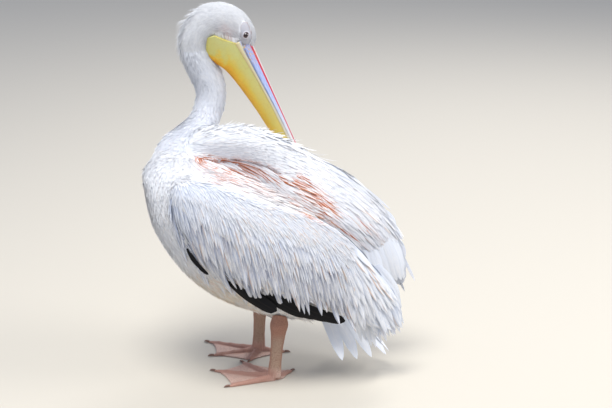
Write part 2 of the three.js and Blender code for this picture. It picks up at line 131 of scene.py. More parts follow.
def at_place(value: ByPlace | float, bird: Array) -> Array | float:
    """A number that may depend on the place on the bird."""
    return value(bird) if callable(value) else value


def uneven(random: np.random.Generator, count: int, share: float) -> Array:
    """Random factors that differ from 1 by up to a share."""
    return 1 + share * (random.random(count) * 2 - 1)


def circle(count: int) -> Array:
    """Even angles once round a circle."""
    return np.linspace(0, 2 * np.pi, count + 1)[:-1]


def bell(x: Array, width: float) -> Array:
    """A smooth bump of height 1 at x = 0."""
    return np.exp(-(x / width) ** 2)


def dot(a: Array, b: Array) -> Array:
    """The dot product of each pair of vectors, kept as a column."""
    return np.sum(a * b, axis=-1, keepdims=True)


def flatten(vectors: Array, normals: Array) -> Array:
    """The part of each vector that lies along the surface with that normal, with length one."""
    return unit(vectors - normals * dot(vectors, normals))


def curve_through(stations: Rows, count: int) -> Array:
    """A smooth Catmull-Rom run through rows of numbers.

    Args:
        stations: the rows, at even steps of the run.
        count: how many rows to return.

    Returns:
        The run, as count rows.
    """
    rows = np.asarray(stations, float)
    rows = np.vstack([2 * rows[0] - rows[1], rows, 2 * rows[-1] - rows[-2]])
    place = np.linspace(0, len(rows) - 3, count)
    i = np.minimum(place.astype(int), len(rows) - 4)
    t = (place - i)[:, None]
    a, b, c, d = rows[i], rows[i + 1], rows[i + 2], rows[i + 3]
    square, cube = 2 * a - 5 * b + 4 * c - d, 3 * b - a - 3 * c + d
    return 0.5 * (2 * b + (c - a) * t + square * t ** 2 + cube * t ** 3)


def from_line(points: Array, stations: Rows) -> Array:
    """How far each point is from a smooth run."""
    return np.linalg.norm(points[:, None] - curve_through(stations, 40)[None], axis=2).min(axis=1)


def new_mesh(name: str, points: Array, faces: Sequence[Sequence[int]], smooth: bool = True) -> Mesh:
    """A mesh from points and faces."""
    mesh = bpy.data.meshes.new(name)
    mesh.from_pydata(np.asarray(points).tolist(), [], [tuple(int(i) for i in f) for f in faces])
    mesh.shade_smooth() if smooth else mesh.shade_flat()
    return mesh


def rows_of(items: Any, key: str) -> Array:
    """Three numbers of each item of a collection, as rows."""
    flat = np.empty(len(items) * 3)
    items.foreach_get(key, flat)
    return flat.reshape(-1, 3)


def points_of(mesh: Mesh) -> Array:
    """A mesh's vertices as rows."""
    return rows_of(mesh.vertices, "co")


def normals_of(mesh: Mesh) -> Array:
    """A mesh's vertex normals as rows."""
    return rows_of(mesh.vertex_normals, "vector")


def move_points(mesh: Mesh, points: Array) -> None:
    """Puts a mesh's vertices at these points."""
    mesh.vertices.foreach_set("co", np.asarray(points, np.float32).ravel())
    mesh.update()


def set_vectors(mesh: Mesh, name: str, rows: Array) -> None:
    """Stores three numbers for each vertex as a named attribute."""
    layer = mesh.attributes.new(name, "FLOAT_VECTOR", "POINT")
    layer.data.foreach_set("vector", np.asarray(rows, np.float32).ravel())


def get_vectors(mesh: Mesh, name: str) -> Array:
    """Reads a named attribute of three numbers for each vertex."""
    return rows_of(mesh.attributes[name].data, "vector")


def neighbour_mean(values: Array, edges: Array) -> Array:
    """The mean of each vertex's neighbours, or its own value where it has none."""
    total, count = np.zeros_like(values), np.zeros((len(values),) + (1,) * (values.ndim - 1))
    for a, b in ((0, 1), (1, 0)):
        np.add.at(total, edges[:, a], values[edges[:, b]])
        np.add.at(count, edges[:, a], 1)
    return np.where(count > 0, total / np.maximum(count, 1), values)


def joined_solids(nodes: dict[str, Object], names: Sequence[str],
                  change: Callable[[bmesh.types.BMesh, str], None]) -> Mesh:
    """Several solids as one mesh.

    Args:
        nodes: the frame's nodes.
        names: the nodes to join.
        change: what is done to each solid, once its doubles are merged.

    Returns:
        The mesh.
    """
    work = bmesh.new()
    for name in names:
        part = bmesh.new()
        part.from_mesh(nodes[name].data)
        bmesh.ops.remove_doubles(part, verts=part.verts, dist=1e-5)
        part.normal_update()
        change(part, name)
        held = bpy.data.meshes.new(name)
        part.to_mesh(held)
        part.free()
        work.from_mesh(held)
        bpy.data.meshes.remove(held)
    joined = bpy.data.meshes.new("joined_solids")
    work.to_mesh(joined)
    work.free()
    return joined


def loft(rings: Sequence[Array], closed_ends: bool = True) -> Solid:
    """A skin over rings with equal numbers of points.

    Args:
        rings: the rings, in order.
        closed_ends: whether a fan closes each end.

    Returns:
        The points and the faces.
    """
    count = len(rings[0])
    points = np.vstack(rings)
    faces: list[tuple[int, ...]] = []
    for r in range(len(rings) - 1):
        for i in range(count):
            j = (i + 1) % count
            faces.append((r * count + i, r * count + j, (r + 1) * count + j, (r + 1) * count + i))
    if closed_ends:
        for r, turned in ((0, True), (len(rings) - 1, False)):
            points = np.vstack([points, rings[r].mean(axis=0)])
            for i in range(count):
                a, b = r * count + i, r * count + (i + 1) % count
                faces.append((len(points) - 1, b, a) if turned else (len(points) - 1, a, b))
    return points, faces


def together(solids: Sequence[Solid]) -> Solid:
    """Several solids' points and faces as one solid's."""
    starts = np.cumsum([0] + [len(points) for points, _ in solids])
    faces = [tuple(i + start for i in face) for start, (_, held) in zip(starts, solids) for face in held]
    return np.vstack([points for points, _ in solids]), faces


def with_ends(rows: Sequence[Array]) -> Array:
    """The rows of every ring, then those of the middle of a loft's two ends."""
    return np.vstack([*rows, rows[0].mean(axis=0), rows[-1].mean(axis=0)])


def outward(mesh: Mesh) -> None:
    """Merges a closed mesh's doubles and turns its faces outwards."""
    work = bmesh.new()
    work.from_mesh(mesh)
    bmesh.ops.remove_doubles(work, verts=work.verts, dist=2e-6)
    bmesh.ops.recalc_face_normals(work, faces=work.faces)
    work.to_mesh(mesh)
    work.free()
    mesh.update()


def evaluated(holder: Object) -> Mesh:
    """An object's mesh with its modifiers applied; the object is then removed."""
    graph = bpy.context.evaluated_depsgraph_get()
    made = bpy.data.meshes.new_from_object(holder.evaluated_get(graph), preserve_all_data_layers=True,
                                           depsgraph=graph)
    holder.modifiers.clear()
    bpy.data.objects.remove(holder)
    return made


def shown(name: str, data: Any) -> Object:
    """A new object in the scene."""
    made = bpy.data.objects.new(name, data)
    bpy.context.scene.collection.objects.link(made)
    return made


def run_tree(tree: Tree, mesh: Mesh, values: dict[str, Any]) -> Mesh:
    """Runs a Geometry Nodes tree on a mesh.

    Args:
        tree: the tree.
        mesh: what it starts from.
        values: the tree's inputs, by name.

    Returns:
        The result, as a plain mesh.
    """
    holder = shown(tree.name, mesh)
    modifier = holder.modifiers.new(tree.name, "NODES")
    modifier.node_group = tree
    for item in tree.interface.items_tree:
        if item.item_type == "SOCKET" and item.in_out == "INPUT" and item.name in values:
            modifier[item.identifier] = values[item.name]
    return evaluated(holder)


def smoothed(mesh: Mesh, voxel: float, rounds: int) -> Mesh:
    """A mesh rebuilt as one closed skin of even faces, then smoothed.

    Args:
        mesh: closed shells that may overlap.
        voxel: the size of the new faces, in metres.
        rounds: how often it is smoothed.

    Returns:
        The new mesh.
    """
    holder = shown("remesh", mesh)
    remesh = holder.modifiers.new("remesh", "REMESH")
    remesh.mode, remesh.voxel_size = "VOXEL", voxel
    holder.modifiers.new("soften", "SMOOTH").iterations = rounds
    made = evaluated(holder)
    made.shade_smooth()
    return made


def place(name: str, mesh: Mesh, slot: str, replaces: Sequence[str] = (),
          material: Material | None = None) -> Object:
    """Makes a mesh a piece of the bird.

    Args:
        name: the piece's name.
        mesh: its mesh, already in place.
        slot: the record's material slot; not used.
        replaces: the CAD nodes that it stands for.
        material: its material, where the mesh has none yet.

    Returns:
        The piece.
    """
    piece = shown(name, mesh)
    mesh.name = name
    if material is not None:
        mesh.materials.clear()
        mesh.materials.append(material)
    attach(piece, "root")
    if replaces:
        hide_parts(*replaces)
    triangles = sum(len(p.vertices) - 2 for p in mesh.polygons)
    LOG.info("%s: %d triangles", name, triangles)
    return piece


def place_solid(name: str, solid: Solid, slot: str, replaces: Sequence[str], material: Material,
                held: dict[str, Array] | None = None) -> Object:
    """Makes points and faces a solid piece of the bird.

    Args:
        name: the piece's name.
        solid: its points and faces.
        slot: the record's material slot; not used.
        replaces: the CAD nodes that it stands for.
        material: its material.
        held: by name, three numbers that each point carries.

    Returns:
        The piece.
    """
    mesh = new_mesh(name, *solid)
    for key, rows in (held or {}).items():
        set_vectors(mesh, key, rows)
    outward(mesh)
    return place(name, mesh, slot, replaces, material)


# ---- The bird's landmarks ----

class Landmarks:
    """Where the bird's own numbers lie in the frame, and its neck path, wing edges and bill directions."""

    NECK = ((-296, 14, 470), (-288, 50, 520), (-278, 74, 552), (-264, 95, 582), (-250, 108, 608),
            (-236, 117, 640), (-231, 120, 668), (-236, 121, 702), (-252, 120, 737), (-264, 118, 774),
            (-257, 115, 812), (-225, 113, 843), (-188, 112, 840), (-160, 112, 816), (-143, 112, 788),
            (-134, 112, 768))
    NEAR_TOP = ((-320, 506), (-300, 526), (-248, 524), (-172, 500), (-92, 468), (-12, 444), (60, 408),
                (112, 362), (164, 298), (210, 222), (234, 164))
    NEAR_BOTTOM = ((-324, 474), (-308, 404), (-274, 350), (-214, 292), (-130, 246), (-36, 218), (54, 190),
                   (116, 152), (168, 116), (208, 104), (232, 116))
    FAR_TOP = ((-266, 556), (-254, 592), (-224, 610), (-162, 619), (-90, 600), (-12, 568), (74, 518),
               (156, 455), (208, 396), (238, 318), (250, 248))
    CREASE = ((-259, 543), (-240, 536), (-216, 530), (-161, 528), (-139, 524), (-110, 516), (-89, 511),
              (-55, 486), (-29, 457), (0, 440))  # the lower edge of the lifted wing's roll
    ROLL_FRONT = ((543, -259), (552, -269), (562, -276), (574, -279), (589, -276), (600, -264), (606, -242))
    GROOVE = ((-240, -3, 527), (-187, 14, 503), (-139, 30, 478), (-86, 18, 448), (-38, 0, 424), (0, -8, 404))
    BEND = ((-250, 526), (-300, 528), (-322, 506), (-325, 474), (-308, 404), (-276, 352))
    TRUNK_RUN = unit(np.array([511.0, 0.0, -375.0]))
    NECK_FOOT = np.array([-282.0, 60.0, 566.0])
    EYE_RIGHT = np.array([-143.0, 86.0, 817.0])
    BILL_BASE = np.array([-120.0, 112.0, 771.0])
    BILL_RUN = unit(np.array([0.38, 0.1, -0.92]))
    BILL_SIDE = unit(np.array([0.0, 1.0, 0.0]) - BILL_RUN * BILL_RUN[1])
    BILL_UP = np.cross(BILL_RUN, BILL_SIDE)

    def __init__(self) -> None:
        """Reads the frame once: the right eye's box gives the shift from the bird's numbers."""
        low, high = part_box("eye_right")
        self.shift = (np.array(low) + np.array(high)) / 2 - self.EYE_RIGHT * MM
        self.neck = curve_through(self.NECK, 160)

    def at(self, bird: Array | Sequence[float]) -> Array:
        """Points in the bird's millimetres as points of the scene."""
        return np.asarray(bird, float) * MM + self.shift

    def bird(self, points: Array) -> Array:
        """Points of the scene in the bird's millimetres."""
        return (points - self.shift) / MM

    def on_bill(self, along: Array, side: Array, up: Array) -> Array:
        """Points in the bill's own directions, as points of the scene."""
        along, side, up = np.broadcast_arrays(*(np.asarray(v, float)[..., None] for v in (along, side, up)))
        return self.at(self.BILL_BASE + self.BILL_RUN * along + self.BILL_SIDE * side + self.BILL_UP * up)

    def along_neck(self, bird: Array) -> tuple[Array, Array]:
        """Where points lie along the neck path.

        Args:
            bird: the points, in the bird's millimetres.

        Returns:
            The share of the path from breast to forehead, and the distance from it.
        """
        share, reach = np.empty(len(bird)), np.empty(len(bird))
        for start in range(0, len(bird), 20000):
            gap = np.linalg.norm(bird[start:start + 20000, None] - self.neck[None], axis=2)
            best = gap.argmin(axis=1)
            share[start:start + 20000] = best / (len(self.neck) - 1)
            reach[start:start + 20000] = gap[np.arange(len(best)), best]
        return share, reach

    def neck_run(self, share: Array) -> Array:
        """The neck path's direction, towards the bill, at each share of its length."""
        runs = unit(np.gradient(self.neck, axis=0))
        return runs[np.clip(np.rint(share * (len(runs) - 1)).astype(int), 0, len(runs) - 1)]

    @staticmethod
    def edge(line: Sequence[tuple[float, float]], x: Array) -> Array:
        """The height of a wing's edge at each distance along the bird."""
        return np.interp(x, [p[0] for p in line], [p[1] for p in line])

    def down_near_wing(self, bird: Array) -> Array:
        """How far down the left wing a point lies, from 0 at its top edge to 1 at its bottom one."""
        top, bottom = self.edge(self.NEAR_TOP, bird[:, 0]), self.edge(self.NEAR_BOTTOM, bird[:, 0])
        return np.clip((top - bird[:, 2]) / np.maximum(top - bottom, 20), 0, 1)


# ---- Markings, shared by the skin and the coat ----

@dataclass
class Markings:
    """Where the plumage is stained, by place on the bird: rust in the creases and buff under the breast, the
    buff partly painted warm shade; also painted shade up the neck and over the head, and painted light on the
    cheek.
    """

    marks: Landmarks

    # Creases where preen oil and mud have stained the feathers, as (x, z) lines with a width and strength.
    RUST = (
        (((-256, 538), (-216, 527), (-161, 524), (-110, 512), (-86, 500)), 9, 1.2),
        (((-51, 490), (-20, 466), (9, 438)), 19, 1.7),
        (((-86, 504), (-51, 490)), 8, 0.8),
        (((-25, 431), (20, 410), (57, 388), (96, 364)), 6, 0.9),
        (((-236, 516), (-170, 498), (-95, 470), (-50, 446)), 12, 0.45),
        (((-98, 466), (-14, 446)), 8, 0.5),
        (((100, 410), (130, 390)), 7, 0.5),
    )

    def at(self, points: Array, seed: int) -> Array:
        """The markings at each point.

        Args:
            points: points of the scene.
            seed: the seed of the fine variation.

        Returns:
            Rust, buff and a random share. The share is lowered by painted shade up the neck and over the
            crown, and raised on the cheek as painted light against the shade under the head.
        """
        bird = self.marks.bird(points)
        x, y, z = bird.T
        random = np.random.default_rng(seed).random(len(bird))
        rust = np.zeros(len(bird))
        for line, width, strength in self.RUST:
            gap = np.full(len(bird), 1e9)
            for (x0, z0), (x1, z1) in zip(line, line[1:]):
                run_x, run_z = x1 - x0, z1 - z0
                t = np.clip(((x - x0) * run_x + (z - z0) * run_z) / (run_x ** 2 + run_z ** 2), 0, 1)
                gap = np.minimum(gap, np.hypot(x - x0 - t * run_x, z - z0 - t * run_z))
            rust = np.maximum(rust, strength * bell(gap, width))
        rust *= ease(-112, -92, y) * ease(95, 60, y) * np.where(random > 0.35, 1.0, 0.15)
        rust *= 1 - ease(10, 50, x) * ease(-40, -70, y)
        # The buff on the keel of the breast and belly is partly the plumage's own tint and partly painted
        # shade: the dimmer, warm light under the body.
        low = ease(330, 225, z) * ease(-40, -240, x)  # the keel of the breast and belly
        flank = ease(520, 440, z) * ease(-320, -240, x) * ease(230, 100, x)
        cheek = np.exp(-((x + 186) / 21) ** 2 - ((z - 822) / 21) ** 2) * ease(115, 100, y)
        buff = np.clip(0.8 * low + 0.2 * flank + 0.1 * (random > 0.85) * (1 - cheek), 0, 1)
        rust = np.maximum(rust, 0.2 * cheek)
        # Painted shade: the neck and crown are darkened. The cheek, which lies in the head's shade, is
        # lightened as painted light.
        shade = (1.15 * ease(625, 730, z) + 0.3 * ease(820, 850, z)) * (1 - cheek) - 0.5 * cheek
        return np.stack([rust, buff, random - shade], axis=1)


# ---- Finishes ----

class Paint:
    """A material in the making: a Principled shader and the steps that lead to its colour."""

    def __init__(self, name: str, roughness: float, ior: float) -> None:
        """Starts the material."""
        self.material = bpy.data.materials.new(name)
        self.material.use_nodes = True
        self.tree = self.material.node_tree
        self.tree.nodes.clear()
        self.shader = add_node(self.tree, "ShaderNodeBsdfPrincipled", {"Roughness": roughness, "IOR": ior})
        add_node(self.tree, "ShaderNodeOutputMaterial", {"Surface": self.shader.outputs[0]})

    @cached_property
    def place(self) -> Socket:
        """The object's own coordinates, in metres."""
        return add_node(self.tree, "ShaderNodeTexCoord").outputs["Object"]

    def step(self, operation: str, *values: Any, clamp: bool = False) -> Socket:
        """One step of arithmetic, and its result."""
        return math_step(self.tree, operation, *values, clamp=clamp)

    def times(self, a: Any, b: Any, clamp: bool = False) -> Socket:
        """The product of two numbers."""
        return self.step("MULTIPLY", a, b, clamp=clamp)

    def line(self, x: Any, slope: float, start: Any, clamp: bool = False) -> Socket:
        """A straight rise from start at x = 0."""
        return self.step("MULTIPLY_ADD", x, slope, start, clamp=clamp)

    def mix(self, share: Any, low: Any, high: Any) -> Socket:
        """Mixes two colours by a share and returns the colour."""
        made = add_node(self.tree, "ShaderNodeMix", {"Factor": share}, data_type="RGBA")
        for key, value in ((6, low), (7, high)):
            if isinstance(value, str):
                made.inputs[key].default_value = hex_colour(value)
            else:
                self.tree.links.new(value, made.inputs[key])
        return made.outputs[2]

    def ramp(self, value: Any, stops: Sequence[tuple[float, str]]) -> Socket:
        """A colour ramp with hex colours at its stops."""
        made = add_node(self.tree, "ShaderNodeValToRGB", {0: value})
        elements = made.color_ramp.elements
        while len(elements) < len(stops):
            elements.new(0.5)
        for element, (at, code) in zip(elements, stops):
            element.position, element.color = at, hex_colour(code)
        return made.outputs[0]

    def grain(self, vector: Any, scale: float, detail: float = 2.0) -> Socket:
        """Noise over any coordinates."""
        return add_node(self.tree, "ShaderNodeTexNoise", {"Vector": vector, "Scale": scale,
                                                          "Detail": detail}).outputs[0]

    def noise(self, size_mm: float, detail: float = 2.0) -> Socket:
        """Noise whose patches have a real size in millimetres."""
        return self.grain(self.place, 1000 / size_mm, detail)

    def cells(self, size_mm: float) -> Socket:
        """The distance from the borders of cells that have a real size in millimetres."""
        return add_node(self.tree, "ShaderNodeTexVoronoi", {"Vector": self.place, "Scale": 1000 / size_mm},
                        feature="DISTANCE_TO_EDGE").outputs["Distance"]

    def parts(self, name: str) -> list[Socket]:
        """The three numbers of a mesh attribute."""
        held = add_node(self.tree, "ShaderNodeAttribute", attribute_name=name)
        return list(add_node(self.tree, "ShaderNodeSeparateXYZ", {0: held.outputs["Vector"]}).outputs)

    def joined(self, *numbers: Any) -> Socket:
        """Numbers as one vector."""
        return add_node(self.tree, "ShaderNodeCombineXYZ", dict(enumerate(numbers))).outputs[0]

    def bump(self, height: Any, depth_mm: float) -> None:
        """Adds a bump of a real depth to the shader's normal."""
        made = add_node(self.tree, "ShaderNodeBump", {"Strength": 1.0, "Distance": depth_mm * MM,
                                                      "Height": height})
        self.tree.links.new(made.outputs[0], self.shader.inputs["Normal"])

    def done(self, colour: Socket, numbers: dict[str, float] | None = None) -> Material:
        """Gives the shader its colour and its other numbers, and returns the material."""
        self.tree.links.new(colour, self.shader.inputs["Base Color"])
        for name, value in (numbers or {}).items():
            self.shader.inputs[name].default_value = value
        return self.material


@dataclass(frozen=True)
class Finish:
    """A finish with its own material name, roughness and index of refraction."""

    name: str
    roughness: float
    ior: float = 1.54  # keratin

    def paint(self) -> Paint:
        """A new material to work on."""
        return Paint(self.name, self.roughness, self.ior)


@dataclass(frozen=True)
class Vanes(Finish):
    """Feathers: barbed vanes on a shaft, matt, with painted shade where they are overlapped and along their
    edges, so paler at the tip.
    """

    name: str = "white_feather_vanes"
    roughness: float = 0.72
    tip: str = "FBFCFE"
    # base and edge are painted shade: the darker, bluer tone where a vane lies overlapped, and along its
    # edges.
    base: str = "8C9DC2"
    edge: str = "C6D2E8"
    shaft: str = "FFFFFF"
    barb_mm: float = 0.9  # real barbs lie about 0.4 mm apart; drawn twice as coarse to show
    stain: float = 1.0  # how strongly the markings show
    sheen: float = 0.25
    gloss: float = 0.5
    fade: float = 1.5  # how fast the root's tone fades towards the tip; smaller reaches further

    def material(self) -> Material:
        """The feather material, which reads the vane and marks attributes."""
        paint = self.paint()
        step, times, line, mix = paint.step, paint.times, paint.line, paint.mix
        across, along, _ = paint.parts("vane")
        rust, buff, random = paint.parts("marks")
        side = step("ABSOLUTE", across)
        # Painted shade: darker and bluer towards the overlapped root and at the edges, where the vanes above
        # shade them.
        colour = mix(step("POWER", step("SUBTRACT", 1.0, along), self.fade), self.tip, self.base)
        colour = mix(step("POWER", side, 2.4), colour, self.edge)
        colour = mix(times(step("LESS_THAN", side, 0.09), 0.5), colour, self.shaft)
        # Barbs that cling together leave faint streaks, which slant out from the shaft, drawn in the root's
        # painted shade.
        slant = line(side, -1.4, times(along, 5.0))
        streak = paint.grain(paint.joined(times(across, 2.5), slant, times(random, 60.0)), 2.2)
        colour = mix(line(streak, 1.2, -0.42, clamp=True), colour, self.base)
        faded = times(times(buff, paint.noise(24)), 1.1 * self.stain, clamp=True)
        colour = mix(faded, colour, "E2CDA6")
        # Rust gathers along one edge of each vane, and less of it towards the tip.
        flecks = line(paint.noise(26), 2.0, -0.35, clamp=True)
        gap = line(line(across, 2.4, -0.4, clamp=True), 0.82, 0.18)
        gap = times(gap, line(along, -0.6, 1.05))
        rusty = times(times(rust, flecks), times(gap, 4.2 * self.stain), clamp=True)
        colour = mix(rusty, colour, "C0642A")
        # Here and there one edge is stained, which draws the thin warm lines between the feathers.
        rim = times(step("GREATER_THAN", across, 0.5), step("GREATER_THAN", random, 0.8))
        colour = mix(times(times(rim, buff), 1.9 * self.stain, clamp=True), colour, "D9AC88")
        # The tone follows the third mark: random, with the painted shade of the neck and head and the painted
        # light on the cheek.
        tone = add_node(paint.tree, "ShaderNodeHueSaturation", {"Color": colour,
                                                                "Value": line(random, 0.13, 0.9)})
        run = step("ADD", times(along, 60.0), times(side, -9.0))
        paint.bump(step("SINE", times(run, 3.14 / self.barb_mm)), 0.08)
        return paint.done(tone.outputs[0], {"Specular IOR Level": self.gloss, "Sheen Weight": self.sheen,
                                            "Sheen Roughness": 0.5})


@dataclass(frozen=True)
class Hide(Finish):
    """The skin under the coat: pale and downy with the coat's markings, bare and faintly pink on the face."""

    name: str = "downy_skin_and_bare_face"
    roughness: float = 0.55
    ior: float = 1.42

    def material(self) -> Material:
        """The skin material, which reads the marks and face attributes."""
        paint = self.paint()
        rust, buff, _ = paint.parts("marks")
        bare, rim, _ = paint.parts("face")
        down = paint.mix(buff, paint.mix(paint.noise(18), "DDE2EC", "ECECEE"), "DCC7A2")
        down = paint.mix(rust, down, "B9693A")
        face = paint.mix(rim, paint.mix(paint.noise(7, 4.0), "BAB5B9", "ABAFBA"), "BC917C")
        paint.bump(paint.step("ADD", paint.noise(1.6, 3.0), paint.noise(5.0, 2.0)), 0.35)
        return paint.done(paint.mix(paint.times(bare, 3.0, clamp=True), down, face))


@dataclass(frozen=True)
class BillHorn(Finish):
    """The upper bill's rhamphotheca: smooth blue-grey horn with a pale ridge between two red lines."""

    name: str = "blue_grey_bill_horn"
    roughness: float = 0.38

    def material(self) -> Material:
        """The bill material, which reads the bill attribute: along, side and top or underside."""
        paint = self.paint()
        along, across, _ = paint.parts("bill")
        side = paint.step("ABSOLUTE", across)
        sides = paint.ramp(along, ((0.0, "8698D2"), (0.3, "93A4D8"), (0.48, "B3BBD6"), (0.7, "D8D0C8"),
                                   (1.0, "DCCCBA")))
        fibre = paint.grain(paint.joined(paint.times(along, 26.0), paint.times(across, 14.0)), 1.0, 3.0)
        streak = paint.times(paint.line(fibre, 2.6, -1.0, clamp=True), 0.6)
        sides = paint.mix(streak, sides, "DCE2EC")
        ridge = paint.ramp(side, ((0.0, "DDD3D4"), (0.12, "D8CBCE"), (0.16, "C01C33"), (0.42, "C8243B"),
                                  (0.47, "B9A0BC")))
        colour = paint.mix(paint.step("GREATER_THAN", side, 0.46), ridge, sides)
        near = paint.step("SUBTRACT", 1.0, paint.times(along, 14.0), clamp=True)
        spots = paint.step("GREATER_THAN", paint.noise(4), 0.58)
        colour = paint.mix(paint.times(near, spots), colour, "D9A24A")
        drawn = add_node(paint.tree, "ShaderNodeMapping", {"Vector": paint.place, "Scale": (900, 900, 60)})
        paint.bump(paint.grain(drawn.outputs[0], 1.0), 0.12)
        return paint.done(colour)


@dataclass(frozen=True)
class RodHorn(Finish):
    """The lower bill's rods: pale cream horn, bluish along the edge that meets the upper bill."""

    name: str = "cream_rod_horn"
    roughness: float = 0.42

    def material(self) -> Material:
        """The rod material, which reads the bill attribute: along, side and depth."""
        paint = self.paint()
        along, _, depth = paint.parts("bill")
        near = paint.ramp(depth, ((0.0, "98A2D0"), (0.2, "B4B4C0"), (0.32, "E0D6AE"), (1.0, "D2B458")))
        far = paint.ramp(depth, ((0.0, "D8CFC6"), (0.5, "E2D9C2"), (1.0, "DCCB8A")))
        colour = paint.mix(paint.line(along, 2.6, -0.35, clamp=True), near, far)
        colour = paint.mix(paint.times(paint.noise(8, 3.0), 0.4), colour, "C9C3B0")
        paint.bump(paint.noise(2.5, 3.0), 0.15)
        return paint.done(colour)


@dataclass(frozen=True)
class PouchSkin(Finish):
    """The throat pouch: thin taut skin, greenish yellow with fine veins, orange yellow along the keel."""

    name: str = "yellow_pouch_skin"
    roughness: float = 0.45
    ior: float = 1.42

    def material(self) -> Material:
        """The pouch material, which reads the bill attribute: along, around and depth."""
        paint = self.paint()
        along, _, depth = paint.parts("bill")
        wobble = paint.line(paint.noise(22, 3.0), 0.22, -0.11)
        # The gold lies along the keel, and fades out towards the throat.
        golden = paint.line(paint.step("ADD", along, wobble), 5.5, 1.2, clamp=True)
        level = paint.times(paint.step("ADD", depth, wobble), paint.step("MAXIMUM", golden, 0.45))
        colour = paint.ramp(level, ((0.0, "C3B65E"), (0.08, "D0CE88"), (0.4, "D6CD76"), (0.62, "E6C64C"),
                                    (0.8, "F0B423"), (1.0, "DC9413")))
        colour = paint.mix(paint.line(along, 1.1, -0.05, clamp=True), colour, "EFCB57")
        veins = paint.step("LESS_THAN", paint.cells(15), 0.03)
        colour = paint.mix(paint.times(veins, 0.1), colour, "B98A4A")
        paint.bump(paint.noise(4.0, 3.0), 0.3)
        return paint.done(colour, {"Subsurface Weight": 0.12, "Subsurface Scale": 0.004})


@dataclass(frozen=True)
class Scutes(Finish):
    """Bare legs and feet: dry scaly skin, brownish pink and paler on the webs, with the leg's front and back
    painted paler as painted light and its sides darker as painted shade.
    """

    name: str = "scaly_leg_skin"
    roughness: float = 0.5
    ior: float = 1.45
    # The leg colour is the leg's sides in painted shade; the next, paler one is its front and back as painted
    # light.
    leg: str = "AE7F6A"
    painted_lit_face: str = "BCA28C"
    toe: str = "BC9080"
    web: str = "E8C8B8"
    scute_mm: float = 4.0
    band_mm: float = 4.5  # from one scute to the next along a toe

    def material(self) -> Material:
        """The leg material, which reads the foot attribute: height, along the toe, and the share of web or of
        the leg's painted lit face.
        """
        paint = self.paint()
        step, times, mix = paint.step, paint.times, paint.mix
        high, along, away = paint.parts("foot")
        colour = mix(high, mix(away, self.toe, self.web), mix(away, self.leg, self.painted_lit_face))
        seam = times(paint.cells(self.scute_mm), 6.0, clamp=True)
        bands = times(step("ABSOLUTE", step("SINE", times(along, math.pi / self.band_mm))), 3.0, clamp=True)
        on_toe = step("SUBTRACT", 1.0, step("MAXIMUM", away, high), clamp=True)
        height = add_node(paint.tree, "ShaderNodeMix", {"Factor": on_toe, 2: seam, 3: bands},
                          data_type="FLOAT").outputs[0]
        colour = mix(times(step("SUBTRACT", 1.0, height), 0.55), colour, "7A4F44")
        colour = mix(times(paint.noise(16, 4.0), 0.35), colour, "B0806C")
        paint.bump(height, 0.5)
        return paint.done(colour)


@dataclass(frozen=True)
class PlainHorn(Finish):
    """Solid horn of one colour, with faint growth lines: the bill's nail and the claws."""

    colour: str = "4A3A36"
    pale: str = "7C655A"

    def material(self) -> Material:
        """The horn material."""
        paint = self.paint()
        paint.bump(paint.noise(1.5), 0.1)
        return paint.done(paint.mix(paint.noise(5, 3.0), self.colour, self.pale))


@dataclass(frozen=True)
class WetEye(Finish):
    """The eye: a dark maroon iris round a black pupil, under a clear wet cornea."""

    name: str = "wet_maroon_eye"
    roughness: float = 0.06
    ior: float = 1.38

    def material(self) -> Material:
        """The eye material, which reads the gaze attribute: the share of the way out from the pupil."""
        paint = self.paint()
        out, _, _ = paint.parts("gaze")
        ring = paint.ramp(out, ((0.0, "070405"), (0.17, "0A0506"), (0.23, "22080C"), (0.4, "2C0B10"),
                                (0.5, "1C080B"), (1.0, "140708")))
        colour = paint.mix(paint.times(paint.noise(1.0), 0.2), ring, "4A1620")
        return paint.done(colour, {"Coat Weight": 1.0, "Coat Roughness": 0.02})


# ---- Node trees that sow roots and grow vanes ----

class Outline(Enum):
    """A vane's width from root to tip, as points (share of its length, share of its width)."""

    TUFT = ((0.0, 0.5), (0.35, 1.0), (0.75, 0.72), (1.0, 0.06))
    LANCE = ((0.0, 0.5), (0.3, 0.92), (0.6, 1.0), (0.86, 0.6), (1.0, 0.04))
    BLADE = ((0.0, 0.45), (0.3, 0.9), (0.7, 1.0), (0.9, 0.82), (1.0, 0.12))
    LOCK = ((0.0, 0.8), (0.3, 1.0), (0.7, 0.5), (1.0, 0.03))


def tree_inputs(tree: Tree, kinds: dict[str, str]) -> Any:
    """Gives a geometry tree its named inputs and its output.

    Args:
        tree: the tree.
        kinds: each input's kind, by name.

    Returns:
        The inputs, as sockets inside the tree.
    """
    for name, kind in kinds.items():
        tree.interface.new_socket(name, in_out="INPUT", socket_type=f"NodeSocket{kind}")
    tree.interface.new_socket("Geometry", in_out="OUTPUT", socket_type="NodeSocketGeometry")
    return add_node(tree, "NodeGroupInput").outputs


def sowing_tree() -> Tree:
    """A tree that sows roots over a mesh, none nearer to another than Spacing, and keeps the normal there."""
    tree = bpy.data.node_groups.new("sow_roots", "GeometryNodeTree")
    given = tree_inputs(tree, {"Geometry": "Geometry", "Spacing": "Float", "Seed": "Int"})
    density = math_step(tree, "DIVIDE", 3.0, math_step(tree, "MULTIPLY", given["Spacing"], given["Spacing"]))
    sown = add_node(tree, "GeometryNodeDistributePointsOnFaces", {
        "Mesh": given["Geometry"], "Distance Min": given["Spacing"], "Density Max": density,
        "Seed": given["Seed"]}, distribute_method="POISSON")
    kept = add_node(tree, "GeometryNodeStoreNamedAttribute", {
        "Geometry": sown.outputs["Points"], "Name": "out", "Value": sown.outputs["Normal"]},
        data_type="FLOAT_VECTOR", domain="POINT")
    points = add_node(tree, "GeometryNodePointsToVertices", {"Points": kept.outputs[0]})
    add_node(tree, "NodeGroupOutput", {"Geometry": points.outputs[0]})
    return tree


